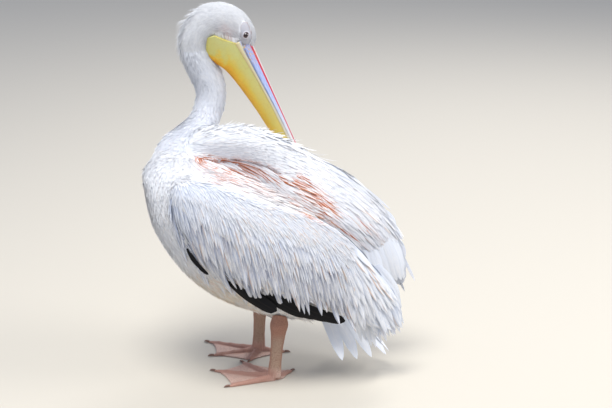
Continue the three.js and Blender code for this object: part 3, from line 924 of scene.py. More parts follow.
def vane_tree(outline: Outline) -> Tree:
    """A tree that grows one vane from each point of a mesh.

    Each point carries root, along and bend, which give the vane's middle line as root + along t + bend t t,
    then across and crown, which give its width and how far its edges bend down, and home, its place on the
    bake map.

    Args:
        outline: the vane's width from root to tip.

    Returns:
        The tree, with the inputs Columns, Rows, Patch and Material.
    """
    tree = bpy.data.node_groups.new(f"grow_{outline.name.lower()}_vanes", "GeometryNodeTree")
    given = tree_inputs(tree, {"Geometry": "Geometry", "Columns": "Int", "Rows": "Int", "Patch": "Float",
                               "Material": "Material"})
    step = partial(math_step, tree)

    def vector_step(operation: str, a: Any, b: Any = None, scale: Any = None) -> Socket:
        """One step of vector arithmetic in this tree."""
        inputs = {0: a} | ({1: b} if b is not None else {}) | ({"Scale": scale} if scale is not None else {})
        return add_node(tree, "ShaderNodeVectorMath", inputs, operation=operation).outputs[0]

    def held(name: str) -> Socket:
        """A vector attribute that the points carry."""
        return add_node(tree, "GeometryNodeInputNamedAttribute", {"Name": name},
                        data_type="FLOAT_VECTOR").outputs[0]

    def stored(geometry: Any, name: str, value: Any, **kind: str) -> Socket:
        """The geometry with one more attribute: three numbers for each point, or the kind that is given."""
        inputs = {"Geometry": geometry, "Name": name, "Value": value}
        kind = {"data_type": "FLOAT_VECTOR", "domain": "POINT"} | kind
        return add_node(tree, "GeometryNodeStoreNamedAttribute", inputs, **kind).outputs[0]

    grid = add_node(tree, "GeometryNodeMeshGrid", {
        "Size X": 1.0, "Size Y": 1.0, "Vertices X": given["Columns"], "Vertices Y": given["Rows"]})
    sheet = stored(grid.outputs["Mesh"], "cell", add_node(tree, "GeometryNodeInputPosition").outputs[0])
    copies = add_node(tree, "GeometryNodeInstanceOnPoints", {"Points": given["Geometry"], "Instance": sheet})
    real = add_node(tree, "GeometryNodeRealizeInstances", {0: copies.outputs[0]}).outputs[0]
    cell = add_node(tree, "ShaderNodeSeparateXYZ", {0: held("cell")}).outputs
    t = step("ADD", cell[1], 0.5)
    width = add_node(tree, "ShaderNodeFloatCurve", {"Value": t})
    curve = width.mapping.curves[0]
    first, *middle, last = outline.value
    curve.points[0].location, curve.points[-1].location = first, last
    for x, y in middle:
        curve.points.new(x, y)
    width.mapping.update()
    w = width.outputs[0]
    droop = step("MULTIPLY", step("MULTIPLY", step("MULTIPLY", cell[0], cell[0]), -4.0), w)
    spot = held("root")
    for name, share in (("along", t), ("bend", step("MULTIPLY", t, t)),
                        ("across", step("MULTIPLY", cell[0], w)), ("crown", droop)):
        spot = vector_step("ADD", spot, vector_step("SCALE", held(name), scale=share))
    shaped = add_node(tree, "GeometryNodeSetPosition", {"Geometry": real, "Position": spot}).outputs[0]
    patch = vector_step("ADD", held("home"), vector_step("SCALE", held("cell"), scale=given["Patch"]))
    mapped = stored(shaped, "OFBake", patch, data_type="FLOAT2", domain="CORNER")
    vane = add_node(tree, "ShaderNodeCombineXYZ", {0: step("MULTIPLY", cell[0], 2.0), 1: t, 2: w}).outputs[0]
    mapped = stored(mapped, "vane", vane)
    rounded = add_node(tree, "GeometryNodeSetShadeSmooth", {"Geometry": mapped, "Shade Smooth": True})
    dressed = add_node(tree, "GeometryNodeSetMaterial", {"Geometry": rounded.outputs[0],
                                                         "Material": given["Material"]})
    add_node(tree, "NodeGroupOutput", {"Geometry": dressed.outputs[0]})
    return tree


# ---- Skin ----

@dataclass
class Skin:
    """The one skin under the coat, made from the solids of the flesh."""

    marks: Landmarks
    voxel_mm: float = 4.0
    cut_mm: float = 0.4  # the cuts between the solids that the swelling closes
    hang_mm: float = 22.0  # how far the lowest coverts hang clear of the left wing's flesh
    depths_mm: dict[str, float] = field(default_factory=lambda: {
        "trunk": 5.5, "neck_lower": 3.2, "neck_upper": 2.0, "head": 0.4, "wing_left": 6.5, "wing_right": 6.5})

    def build(self, nodes: dict[str, Object]) -> None:
        """Joins the flesh, makes it one skin and draws it in by the coat's depth.

        Args:
            nodes: the frame's nodes.
        """
        self.names = list(self.depths_mm)
        shells: list[BVHTree] = []

        def swell(part: bmesh.types.BMesh, _: str) -> None:
            """Keeps a solid's shell, then swells it to close the thin cut between it and the next."""
            shells.append(BVHTree.FromBMesh(part))
            for vertex in part.verts:
                vertex.co += vertex.normal * (self.cut_mm * MM)

        mesh = smoothed(joined_solids(nodes, self.names, swell), self.voxel_mm * MM, 8)
        self.soften(mesh, 130)
        self.shape = Surface.of(mesh)
        points, normals = points_of(mesh), normals_of(mesh)
        gaps = np.array([[shell.find_nearest(p)[3] for shell in shells] for p in map(Vector, points)])
        self.labels = gaps.argmin(axis=1)
        bird = self.marks.bird(points)
        under = self.shoulder(bird)
        depth = np.array([self.depths_mm[n] for n in self.names])[self.labels] * MM
        far, near = self.labels == self.label("wing_right"), self.labels == self.label("wing_left")
        depth += MM * (6 * ease(-80, 60, bird[:, 0]) - 4.5 * ease(-40, -140, bird[:, 0])) * far
        edges = np.array([e.vertices[:] for e in mesh.edges])
        for _ in range(50):
            depth = neighbour_mean(depth, edges)
        depth -= 0.9 * MM * self.bare_face(bird)  # smoothing has already drawn the bare face in
        depth += 3.6 * MM * under
        inside = points - normals * 0.0008
        thick = self.shape.reach(inside, -normals, 0.08)
        depth = np.minimum(depth, 0.3 * thick)
        points = points - normals * depth[:, None]
        points[:, 2] += near * self.hang_mm * MM * ease(0.72, 1.0, self.marks.down_near_wing(bird))
        move_points(mesh, points)
        self.mesh = mesh
        self.surface = Surface.of(mesh)
        self.points, self.normals = points_of(mesh), normals_of(mesh)
        self.faces = np.array([p.vertices[:] for p in mesh.polygons])
        LOG.info("skin: %d faces", len(self.faces))

    def shoulder(self, bird: Array) -> Array:
        """Bounds the lifted wing's roll by its crease and its front end.

        Args:
            bird: the skin's points, in the bird's millimetres.

        Returns:
            How far each point is drawn in under the roll's edge, from 0 to 1.
        """
        x, y, z = bird.T
        far, trunk = self.label("wing_right"), self.label("trunk")
        inner = (y > -30) & (y < 62)
        ahead = self.marks.edge(self.marks.ROLL_FRONT, z) - x
        end = inner & (x < -200) & (z > 543) & (z < 606)
        self.labels[end & (ahead < 0) & (self.labels != self.label("neck_upper"))] = far
        below = self.marks.edge(self.marks.CREASE, x) - z
        self.labels[inner & (below > 0) & (x < -10) & (self.labels == far)] = trunk
        notch = bell(below, 9) * (below > 0) * inner * ease(-10, -40, x) * ease(-262, -250, x)
        return np.maximum(notch, bell(ahead, 9) * (ahead > 0) * end)

    def soften(self, mesh: Mesh, rounds: int) -> None:
        """Smooths the steps where neck and left wing meet the breast, and rounds the lifted wing's roll."""
        points = points_of(mesh)
        bird = self.marks.bird(points)
        away = np.linalg.norm((bird - self.marks.NECK_FOOT - (-20, 0, -40)) * (1, 0.8, 1), axis=1)
        foot = ease(125, 70, away) * ease(0, -20, bird[:, 0] + 255 - 0.4 * (bird[:, 2] - 560))
        gap = from_line(bird[:, ::2], self.marks.BEND)
        x, y, z = bird.T
        roll = ease(-262, -238, x) * ease(90, 20, x) * ease(-40, -15, y) * ease(120, 90, y)
        roll *= ease(-130, -90, z - self.marks.edge(self.marks.FAR_TOP, x))
        groove = from_line(bird, self.marks.GROOVE)
        most = np.maximum.reduce([foot, ease(40, 16, gap) * (y < -40), roll, ease(46, 20, groove)])
        share = 0.5 * most[:, None]
        edges = np.array([e.vertices[:] for e in mesh.edges])
        edges = edges[share[edges[:, 0], 0] + share[edges[:, 1], 0] > 0]
        for _ in range(rounds):
            points = points + share * (neighbour_mean(points, edges) - points)
        move_points(mesh, points)

    def region(self, chosen: Rule) -> Mesh:
        """The part of the skin whose faces a rule chooses.

        Args:
            chosen: takes the faces' middles in the bird's millimetres, their normals and their labels.

        Returns:
            A mesh of those faces.
        """
        corners = self.points[self.faces]
        middle = self.marks.bird(corners.mean(axis=1))
        normal = unit(np.cross(corners[:, 2] - corners[:, 0], corners[:, 3] - corners[:, 1]))
        keep = chosen(middle, normal, self.labels[self.faces[:, 0]])
        used, faces = np.unique(self.faces[keep], return_inverse=True)
        return new_mesh("region", self.points[used], faces.reshape(-1, 4))

    def label(self, name: str) -> int:
        """The number of a node's label."""
        return self.names.index(name)

    def bare_face(self, bird: Array) -> Array:
        """How far each point lies in the bare skin round the eyes, from 0 to 1."""
        x, y, z = bird.T
        off = np.abs(y - self.marks.EYE_RIGHT[1] - 26)
        wave = 0.04 * np.sin(0.23 * z) + 0.03 * np.sin(0.61 * z + 0.4 * x)
        round_eye = np.hypot((x + 140 + 0.12 * (z - 812)) / 16, (z - 812) / 36) + wave
        to_bill = np.hypot((x + 134) / 13, (z - 782) / 22) + wave
        inside = np.maximum(ease(1.06, 0.9, round_eye), ease(1.06, 0.9, to_bill)) * ease(762, 770, z)
        return inside * ease(9, 14, off)

    def dress(self, markings: Markings) -> Object:
        """Adds the markings and the finish, and places the skin."""
        set_vectors(self.mesh, "marks", markings.at(self.points, 3))
        bird = self.marks.bird(self.points)
        bare = self.bare_face(bird)
        fore = ease(-146, -134, bird[:, 0])
        rim = 4 * bare * (1 - bare) * (0.1 + 0.8 * fore)
        set_vectors(self.mesh, "face", np.stack([bare, rim, bare], axis=1))
        return place("skin", self.mesh, "plumage", self.names, Hide().material())


@dataclass
class Surface:
    """A surface that answers where its nearest point is and how far a ray runs."""

    tree: BVHTree

    @classmethod
    def of(cls, mesh: Mesh) -> "Surface":
        """The surface of a mesh."""
        return cls(BVHTree.FromPolygons(points_of(mesh).tolist(), [p.vertices[:] for p in mesh.polygons]))

    def nearest(self, where: Array) -> tuple[Array, Array]:
        """The surface's nearest point to each point, and its normal there."""
        found = [self.tree.find_nearest(p) for p in where.tolist()]
        return np.array([f[0][:] for f in found]), np.array([f[1][:] for f in found])

    def reach(self, where: Array, towards: Array, most: float) -> Array:
        """How far each ray runs before it meets the surface, up to most."""
        found = (self.tree.ray_cast(p, d, most)[3] for p, d in zip(where.tolist(), towards.tolist()))
        return np.array([most if f is None else f for f in found])

    def outside(self, where: Array) -> Array:
        """How far each point lies outside the surface; inside is negative."""
        spot, normal = self.nearest(where)
        off = where - spot
        return np.linalg.norm(off, axis=1) * np.sign(np.sum(off * normal, axis=1))


# ---- Coat ----

@dataclass
class Lie:
    """Which way the feathers lie, by place on the bird."""

    marks: Landmarks

    def body(self, bird: Array, normals: Array) -> Array:
        """The lie on the head, neck and trunk: away from the bill, down the neck and back to the tail."""
        share, reach = self.marks.along_neck(bird)
        down_neck = -self.marks.neck_run(share)
        from_neck = bird - self.marks.NECK_FOOT
        away = np.linalg.norm(from_neck, axis=1)
        fan = unit(from_neck)
        run = unit(fan + self.marks.TRUNK_RUN * (1.6 * ease(110, 300, away))[:, None])
        near = (ease(85, 50, reach) * ease(0.05, 0.22, share))[:, None]
        return flatten(down_neck * near + run * (1 - near), normals)

    def near_wing(self, bird: Array, normals: Array) -> Array:
        """The lie on the folded left wing: slanting back along its top edge and hanging steeply below."""
        x = bird[:, 0]
        share = self.marks.down_near_wing(bird)
        high = 50 + 24 * ease(-120, -260, x)
        low = 78 - 6 * ease(20, 120, x) - 16 * ease(120, 235, x) - 6 * ease(-200, -290, x)
        angle = np.radians(high + (low - high) * ease(0.0, 0.42, share))
        return flatten(np.stack([np.cos(angle), 0 * x, -np.sin(angle)], axis=1), normals)

    def far_wing(self, bird: Array, normals: Array) -> Array:
        """The lie on the lifted right wing: back along its ridge, and down its outer side."""
        x = bird[:, 0]
        slope = self.marks.edge(self.marks.FAR_TOP, x + 12) - self.marks.edge(self.marks.FAR_TOP, x - 12)
        inner = ease(0.1, -0.5, normals[:, 1]) * ease(-120, 20, x)
        fall = np.clip(slope, -40, 0) - 1 - 5 * inner
        ridge = unit(np.stack([np.full_like(x, 24.0), 0 * x, fall], axis=1))
        hang = np.radians(62 + 10 * ease(-100, 100, x))
        down = np.stack([np.cos(hang), 0 * x, -np.sin(hang)], axis=1)
        outer = ease(0.35, 0.8, normals[:, 1])[:, None]
        return flatten(ridge * (1 - outer) + down * outer, normals)

    def back(self, bird: Array, normals: Array) -> Array:
        """The lie of the long shoulder feathers between the wings."""
        run = np.broadcast_to(unit(np.array([0.86, 0.0, -0.46])), bird.shape)
        front = ease(-215, -300, bird[:, 0])[:, None]
        return flatten(run * (1 - front) + self.body(bird, normals) * front, normals)


@dataclass
class Plot:
    """One part of the coat: where it grows, and the size, lie and outline of its vanes."""

    name: str
    chosen: Rule
    lie: Way
    spacing: float
    length: ByPlace | float
    width: ByPlace | float
    rise: ByPlace | float
    outline: Outline = Outline.TUFT
    rows: int = 4
    columns: int = 3
    crown: float = 0.1  # how far its edges bend down, as a share of its width
    ragged: float = 0.2  # how unevenly long the vanes are
    overhang: ByPlace | float = 5.0  # how far past the solids a tip may reach
    seed: int = 1
    clear: float = 9.0  # how much free room a root needs over it
    turn: float = 6.0  # how many degrees a vane may stray from the lie
    keep: ByPlace | None = None  # the share of the sown roots that grow, by place
    stand: ByPlace | float = 0.0  # the share of vanes that stand out
    twist: float = 65.0  # how many degrees a vane that stands out may turn about its length
    finish: str = "wing"  # which of the coat's finishes its vanes take
    hang: bool = False  # whether its vanes hang free instead of following the skin
    curl: float = 0.16  # how much further, as a share of their length, the loosest vanes stand out


@dataclass
class Band:
    """One band of a tract, and the vanes that it grows."""

    name: str
    start: float
    end: float
    spacing: float
    short: float  # the shortest vanes, at its start
    long: float  # the longest, at its end
    width: float
    rise: float
    lines: float = 0.0  # for vanes in rows, how many rows a whole share of the tract holds
    finish: str = ""  # its own finish, where it isn't the tract's


@dataclass
class Coat:
    """All the small feathers, as thin vanes that follow the skin."""

    marks: Landmarks
    skin: Skin
    markings: Markings
    width_share: float = 0.25  # how unevenly wide the vanes are
    rise_share: float = 0.3  # how unevenly their tips rise
    large_mm: float = 62.0  # vanes from this length have more points

    def __post_init__(self) -> None:
        """Makes the node trees once."""
        self.sow = sowing_tree()
        self.trees = {outline: vane_tree(outline) for outline in Outline}

    def home(self, bird: Array) -> Array:
        """Each root's place on the bake map, which unwraps the skin round the neck path and trunk's axis."""
        share, _ = self.marks.along_neck(bird)
        on_neck = share > 0.04
        middle = self.marks.neck[np.rint(share * (len(self.marks.neck) - 1)).astype(int)]
        run = self.marks.neck_run(share)
        side = unit(np.array([0.0, 1.0, 0.0]) - run * run[:, 1:2])
        off = bird - middle
        turn = np.arctan2(dot(off, np.cross(run, side))[:, 0], dot(off, side)[:, 0]) / (2 * np.pi) + 0.5
        trunk = bird - np.array([-386.0, 0.0, 526.0])
        far = trunk @ self.marks.TRUNK_RUN / 800
        around = np.arctan2(trunk[:, 1], trunk @ np.array([0.59, 0.0, 0.81])) / (2 * np.pi) + 0.5
        u = np.where(on_neck, 0.02 + 0.44 * share, 0.52 + 0.46 * np.clip(far, 0, 1))
        v = np.where(on_neck, turn, around)
        return np.stack([u, 0.02 + 0.96 * v, 0 * u], axis=1)

    def grow(self, name: str, lines: Sequence[Array], across: Array, crown: Array, marks: Array, home: Array,
             outline: Outline, columns: int, rows: int, material: Material) -> Mesh:
        """Grows vanes along middle lines.

        Args:
            name: the mesh's name.
            lines: each line's root, middle and tip.
            across: the direction and width of each vane.
            crown: how far its edges bend down, with the direction.
            marks: its markings.
            home: its place on the bake map.
            outline: its outline.
            columns: how many points it has across.
            rows: how many it has along.
            material: its material.

        Returns:
            The mesh of all the vanes.
        """
        root, middle, tip = lines
        seeds = new_mesh(name, root, [])
        held = {"root": root, "along": 4 * middle - 3 * root - tip, "bend": 2 * root + 2 * tip - 4 * middle,
                "across": across, "crown": crown, "marks": marks, "home": home}
        for key, value in held.items():
            set_vectors(seeds, key, value)
        made = run_tree(self.trees[outline], seeds, {"Columns": columns, "Rows": rows, "Patch": BAKE_PATCH,
                                                     "Material": material})
        for key in [k for k in (*held, "cell") if k != "marks"]:
            made.attributes.remove(made.attributes[key])
        return made

    def sown(self, chosen: Rule, spacing: float, seed: int) -> tuple[Array, Array]:
        """Roots sown over a part of the skin, and the normal at each."""
        made = run_tree(self.sow, self.skin.region(chosen), {"Spacing": spacing * MM, "Seed": seed})
        return points_of(made), unit(get_vectors(made, "out"))

    def plant(self, plot: Plot, material: Material) -> Object:
        """Sows a plot and grows its vanes along the skin."""
        random = np.random.default_rng(plot.seed)
        root, normal = self.sown(plot.chosen, plot.spacing, plot.seed)
        room = plot.clear * MM
        free = self.skin.surface.reach(root + normal * 0.0015, normal, room) > room * 0.99
        root, normal = root[free], normal[free]
        if plot.keep is not None:
            kept = random.random(len(root)) < plot.keep(self.marks.bird(root))
            root, normal = root[kept], normal[kept]
        bird, count = self.marks.bird(root), len(root)
        length = at_place(plot.length, bird) * MM * uneven(random, count, plot.ragged)
        width = at_place(plot.width, bird) * MM * uneven(random, count, self.width_share)
        rise = at_place(plot.rise, bird) * MM * uneven(random, count, self.rise_share)
        share = at_place(plot.stand, bird) * (0.4 + 0.6 * ease(0.0, 0.6, normal[:, 2]))
        loose = random.random(count) < share
        curl = loose * (0.06 + plot.curl * random.random(count)) * length
        run = plot.lie(bird, normal)
        turn = np.radians(plot.turn) * (random.random((count, 1)) * 2 - 1)
        run = unit(run * np.cos(turn) + np.cross(normal, run) * np.sin(turn))
        half = (length / 2)[:, None]
        middle, n_middle = self.step(root, root + run * half, normal, plot.hang)
        run_middle = plot.lie(self.marks.bird(middle), n_middle)
        run_middle = flatten(0.5 * run + 0.5 * run_middle, n_middle)
        tip, n_tip = self.step(middle, middle + run_middle * half, n_middle, plot.hang)
        keep = self.skin.shape.outside(tip) < at_place(plot.overhang, self.marks.bird(tip)) * MM
        start = root - normal * 0.0004
        high = middle + n_middle * (0.45 * rise + 0.2 * curl)[:, None]
        end = tip + n_tip * (rise + curl)[:, None]
        line = unit(end - start)
        across = unit(np.cross(line, n_middle))
        twist = (loose * np.radians(plot.twist) * (random.random(count) * 2 - 1))[:, None]
        across = (across * np.cos(twist) + np.cross(line, across) * np.sin(twist)) * width[:, None]
        crown = n_middle * (plot.crown * width)[:, None]
        start, high, end, across, crown, root = (v[keep] for v in (start, high, end, across, crown, root))
        made = self.grow(plot.name, (start, high, end), across, crown, self.markings.at(root, plot.seed),
                         self.home(self.marks.bird(root)), plot.outline, plot.columns, plot.rows, material)
        return place(plot.name, made, "plumage")

    def step(self, start: Array, end: Array, normal: Array, free: bool) -> tuple[Array, Array]:
        """Follows the skin for one step, or runs straight on where the skin turns away under it.

        Args:
            start: where the step starts.
            end: where it would end on a flat skin.
            normal: the normal at its start.
            free: whether it runs straight on everywhere.

        Returns:
            Where it ends, and the normal there.
        """
        if free:
            return end, normal
        spot, found = self.skin.surface.nearest(end)
        turned = dot(found, normal) < 0.45
        off, gone = (np.linalg.norm(v, axis=1, keepdims=True) for v in (spot - end, end - start))
        straight = turned | (off > 0.6 * gone)
        return np.where(straight, end, spot), np.where(straight, normal, unit(0.7 * found + 0.3 * normal))

    def plots(self) -> list[Plot]:
        """The coat's parts, from the head to the rump."""
        skin, lie = self.skin, Lie(self.marks)
        head, upper, lower = (skin.label(n) for n in ("head", "neck_upper", "neck_lower"))
        trunk, near, far = (skin.label(n) for n in ("trunk", "wing_left", "wing_right"))

        def tract(name: str, chosen: Rule, run: Way, share: ByPlace, bands: Sequence[Band],
                  shorter: float = 0.0, finish: str = "wing", **common: Any) -> list[Plot]:
            """Plots for the bands of one tract, whose feathers grow larger from band to band.

            Args:
                name: the tract's name.
                chosen: where the whole tract grows.
                run: its lie.
                share: how far along the tract a point lies.
                bands: its bands.
                shorter: how much shorter the vanes are where the wing ends.
                finish: the tract's finish.
                **common: what the bands share.

            Returns:
                A plot for each band.
            """
            def band_plot(part: Band) -> Plot:
                """One band's plot."""
                def within(b: Array, n: Array, l: Array) -> Array:
                    """Whether a place lies in this band."""
                    return chosen(b, n, l) & (share(b) >= part.start) & (share(b) < part.end)

                def length(b: Array) -> Array:
                    """How long its vanes are."""
                    grown = part.short + (part.long - part.short) * ease(part.start, part.end, share(b))
                    return grown * (1 - shorter * ease(110, 210, b[:, 0]))

                def in_row(b: Array) -> Array:
                    """The share of roots kept: most within a row, and few between two rows."""
                    at = share(b) * part.lines + 0.3 * np.sin(b[:, 0] / 23) + 0.2 * np.sin(b[:, 0] / 9)
                    return np.where(np.mod(at, 1.0) < 0.45, 1.0, 0.2)

                small = part.long < self.large_mm
                return Plot(f"{name}_{part.name}", within, run, part.spacing, length, part.width, part.rise,
                            Outline.LANCE, rows=6 if small else 10, columns=3 if small else 5,
                            keep=in_row if part.lines else None, finish=part.finish or finish, **common)
            return [band_plot(part) for part in bands]

        def band(bird: Array, normal: Array) -> Array:
            """Whether a point lies between the wings, on the back."""
            return (bird[:, 0] > -300) & (normal[:, 2] > 0.1) & (bird[:, 2] > 250 - 0.5 * bird[:, 0])

        def under_roll(bird: Array, normal: Array) -> Array:
            """Whether a point lies on the steep face under the lifted wing's roll."""
            return (np.abs(bird[:, 1]) < 62) & (bird[:, 2] > 395) & (bird[:, 0] > -262) & ~band(bird, normal)

        def outer(normal: Array) -> Array:
            """Whether a point of the left wing faces outwards or up."""
            return (normal[:, 1] < 0.25) | (normal[:, 2] > 0.5)

        def low_front(bird: Array) -> Array:
            """How far a point lies below the neck, from 0 on the neck to 1 on the breast."""
            return ease(650, 440, bird[:, 2])

        def neck_like(bird: Array, normal: Array, label: Array) -> Array:
            """Whether a point lies on the neck or the front of the trunk."""
            side = ~band(bird, normal) & ~under_roll(bird, normal) & (bird[:, 0] < -140)
            front = (bird[:, 0] < -272) | side
            return (label == upper) | (label == lower) | ((label == trunk) & front)

        def on_ridge(bird: Array) -> Array:
            """The share of the lifted wing's vanes that stand out: many along its ridge, and few below it."""
            below = self.marks.edge(self.marks.FAR_TOP, bird[:, 0]) - bird[:, 2]
            amount = (0.35 + 0.35 * ease(-180, 20, bird[:, 0])) * ease(230, 150, bird[:, 0])
            return amount * ease(26, 12, below)

        def cheek_edge(bird: Array) -> Array:
            """How far above the pouch's upper edge a point lies."""
            return bird[:, 2] - 819 + 0.3 * (bird[:, 0] + 230)

        def from_cheek(bird: Array) -> Array:
            """How far ahead of or behind the cheek's middle a point lies."""
            return np.abs(bird[:, 0] + 192)

        def middle(bird: Array) -> Array:
            """How near a point lies to the middle of the cheek, from a half at its ends to 1."""
            return 0.5 + 0.5 * ease(33, 16, from_cheek(bird))

        def on_cheek(bird: Array, normal: Array, label: Array) -> Array:
            """Whether a point lies on the strip over the pouch."""
            strip = (cheek_edge(bird) > 3) & (cheek_edge(bird) < 24) & (from_cheek(bird) < 33)
            return (label == head) & (np.abs(normal[:, 1]) > 0.5) & strip

        def over_cheek(bird: Array) -> Array:
            """How long the vanes over the pouch are: longest in the cheek's middle."""
            bulge = 10 * bell(bird[:, 0] + 190, 17)
            return (8 + 0.6 * cheek_edge(bird) + bulge) * middle(bird)

        def down(bird: Array, normal: Array) -> Array:
            """Straight down."""
            return flatten(np.tile([0.15, 0.0, -1.0], (len(bird), 1)), normal)

        return [
            Plot("coat_head", lambda b, n, l: (l == head) & (skin.bare_face(b) < 0.5), lie.body, 1.9, 9.5,
                 2.4, 2.3, rows=3, seed=11, clear=3, overhang=4, finish="body"),
            Plot("coat_cheek", on_cheek, down, 1.8, over_cheek, 3.2,
                 lambda b: 2.3 + 4.0 * middle(b) ** 3 * ease(22, 9, cheek_edge(b)),
                 keep=lambda b: (0.08 + 0.92 * ease(24, 13, cheek_edge(b))) * ease(34, 20, from_cheek(b)),
                 seed=28, clear=2, overhang=14, finish="body", hang=True),
            Plot("coat_neck", lambda b, n, l: neck_like(b, n, l) & (b[:, 2] >= 560), lie.body, 2.1,
                 lambda b: 14 + 10 * low_front(b), lambda b: 2.6 + 1.6 * low_front(b),
                 lambda b: 4.0 + 0.6 * low_front(b), seed=12, clear=4, stand=0.04, crown=0.03, turn=4,
                 finish="neck"),
            Plot("coat_breast", lambda b, n, l: neck_like(b, n, l) & (b[:, 2] < 560), lie.body, 2.9,
                 lambda b: 16 + 8 * low_front(b), lambda b: 3.2 + 1.2 * low_front(b),
                 lambda b: 3.2 + 1.4 * low_front(b), seed=13, ragged=0.3, turn=4, stand=0.04, crown=0.03,
                 twist=15, finish="body"),
            Plot("coat_belly",
                 lambda b, n, l: (l == trunk) & ~band(b, n) & ~under_roll(b, n) & (b[:, 0] >= -140), lie.body,
                 4.6, 30, 6, 5, seed=14, ragged=0.3, turn=8, stand=0.08, crown=0.06, finish="body"),
            *tract("coat_back", lambda b, n, l: (l == trunk) & band(b, n), lie.back, lambda b: b[:, 0],
                   (Band("upper", -999, -190, 3.8, 18, 40, 4.4, 2.6),
                    Band("long", -210, 999, 8.0, 70, 112, 7.5, 5.0)),
                   seed=15, finish="body", ragged=0.3, clear=4, overhang=12, turn=4, crown=0.08),
            Plot("coat_back_shoulder", lambda b, n, l: (l == trunk) & under_roll(b, n), lie.back, 5.0, 88,
                 6.5, 6, Outline.LANCE, rows=10, columns=5, seed=27, ragged=0.35, clear=3, overhang=24,
                 turn=5, crown=0.08, finish="body"),
            *tract("coat_wing_left", lambda b, n, l: (l == near) & outer(n) & (b[:, 0] < 105), lie.near_wing,
                   self.marks.down_near_wing,
                   (Band("lesser", -0.1, 0.25, 3.6, 20, 40, 3.8, 2.6, finish="rear"),
                    Band("median", 0.2, 0.6, 5.7, 60, 84, 6.0, 4.4, lines=8.0),
                    Band("greater", 0.44, 1.1, 9.0, 96, 106, 11.0, 8.0, lines=4.2, finish="lower")),
                   seed=16, turn=2, ragged=0.14, overhang=lambda b: 5 + 14 * ease(-80, 0, b[:, 0]), clear=5,
                   crown=0.2),
            *tract("coat_wing_left", lambda b, n, l: (l == near) & outer(n) & (b[:, 0] >= 90), lie.near_wing,
                   lambda b: 0.57 * b[:, 0] - 0.82 * b[:, 2],
                   (Band("rear", -999, 999, 7.4, 110, 110, 13.5, 6.0, lines=0.022),),
                   seed=26, finish="rear", turn=3, ragged=0.25, overhang=12, clear=5, crown=0.14),
            Plot("coat_wing_left_inner", lambda b, n, l: (l == near) & ~outer(n), lie.near_wing, 11, 60, 14,
                 4, Outline.LANCE, rows=5, seed=17, clear=3),
            *tract("coat_wing_right", lambda b, n, l: (l == far) & (n[:, 1] < 0.6), lie.far_wing,
                   lambda b: b[:, 0],
                   (Band("front", -999, -110, 3.3, 14, 22, 3.6, 2.0),
                    Band("middle", -130, 30, 5.2, 30, 60, 5.4, 2.4),
                    Band("scapulars", 10, 250, 7.2, 74, 104, 7.5, 3.0, finish="mantle")),
                   seed=18, finish="body", shorter=0.3, ragged=0.28, turn=4, stand=on_ridge, curl=0.34,
                   overhang=lambda b: 13 - 10 * ease(120, 200, b[:, 0]), twist=30, clear=4, crown=0.035),
            *tract("coat_wing_right_outer", lambda b, n, l: (l == far) & (n[:, 1] >= 0.6) & (b[:, 0] < 170),
                   lie.far_wing, lambda b: self.marks.edge(self.marks.FAR_TOP, b[:, 0]) - b[:, 2],
                   (Band("lesser", -99, 66, 4.6, 20, 36, 5.0, 2.0),
                    Band("median", 56, 150, 6.6, 52, 72, 8.0, 4.6, lines=0.05),
                    Band("greater", 136, 999, 7.6, 88, 96, 10.0, 5.4, lines=0.031)),
                   seed=19, finish="rear", ragged=0.2, overhang=4, turn=3, crown=0.06),
        ]

    def build(self, finishes: dict[str, Material]) -> None:
        """Plants every plot with its own finish, then the crest's locks."""
        for plot in self.plots():
            self.plant(plot, finishes[plot.finish])
        self.crest(finishes["body"])

    def crest(self, material: Material) -> None:
        """The loose crest: thin wispy locks that leave the nape and hang down behind it."""
        random = np.random.default_rng(21)
        head, upper = self.skin.label("head"), self.skin.label("neck_upper")
        root, normal = self.sown(
            lambda b, n, l: ((l == head) | (l == upper)) & (b[:, 2] > 735) & (n[:, 0] < -0.25)
            & (np.abs(b[:, 1] - 117) < 24), 2.7, 21)
        count = len(root)
        bird = self.marks.bird(root)
        high, off = bird[:, 2:], np.abs(bird[:, 1:2] - 117)
        down = flatten(Lie(self.marks).body(bird, normal), normal)
        length = (13 + 17 * random.random(count))[:, None] * MM * (0.6 + 0.4 * ease(880, 850, high))
        length *= 0.45 + 0.55 * ease(735, 785, high)
        length *= 1 + 0.3 * ease(832, 844, high)
        stand = (0.2 + 0.75 * random.random((count, 1)) ** 1.5) * ease(735, 775, high)
        stand *= 1 - 0.6 * ease(826, 850, high)
        wisp = ease(832, 844, high) * ease(882, 868, high) * (random.random((count, 1)) > 0.78)
        stand += 0.9 * wisp
        stand *= ease(24, 12, off)
        wild = (random.random((count, 3)) - 0.5) * 0.35
        first = unit(down + normal * stand + wild * 0.5)
        middle = root + first * length * 0.5
        tip = middle + unit(down + normal * stand * 0.25 + wild) * length * 0.5
        across = unit(np.cross(tip - root, normal)) * (2.2 * MM)
        made = self.grow("crest_locks", (root - normal * 0.0005, middle, tip), across, normal * 0.0006,
                         self.markings.at(root, 22), self.home(bird), Outline.LOCK, 3, 6, material)
        place("crest_locks", made, "plumage", ["crest"])


# ---- Large feathers ----

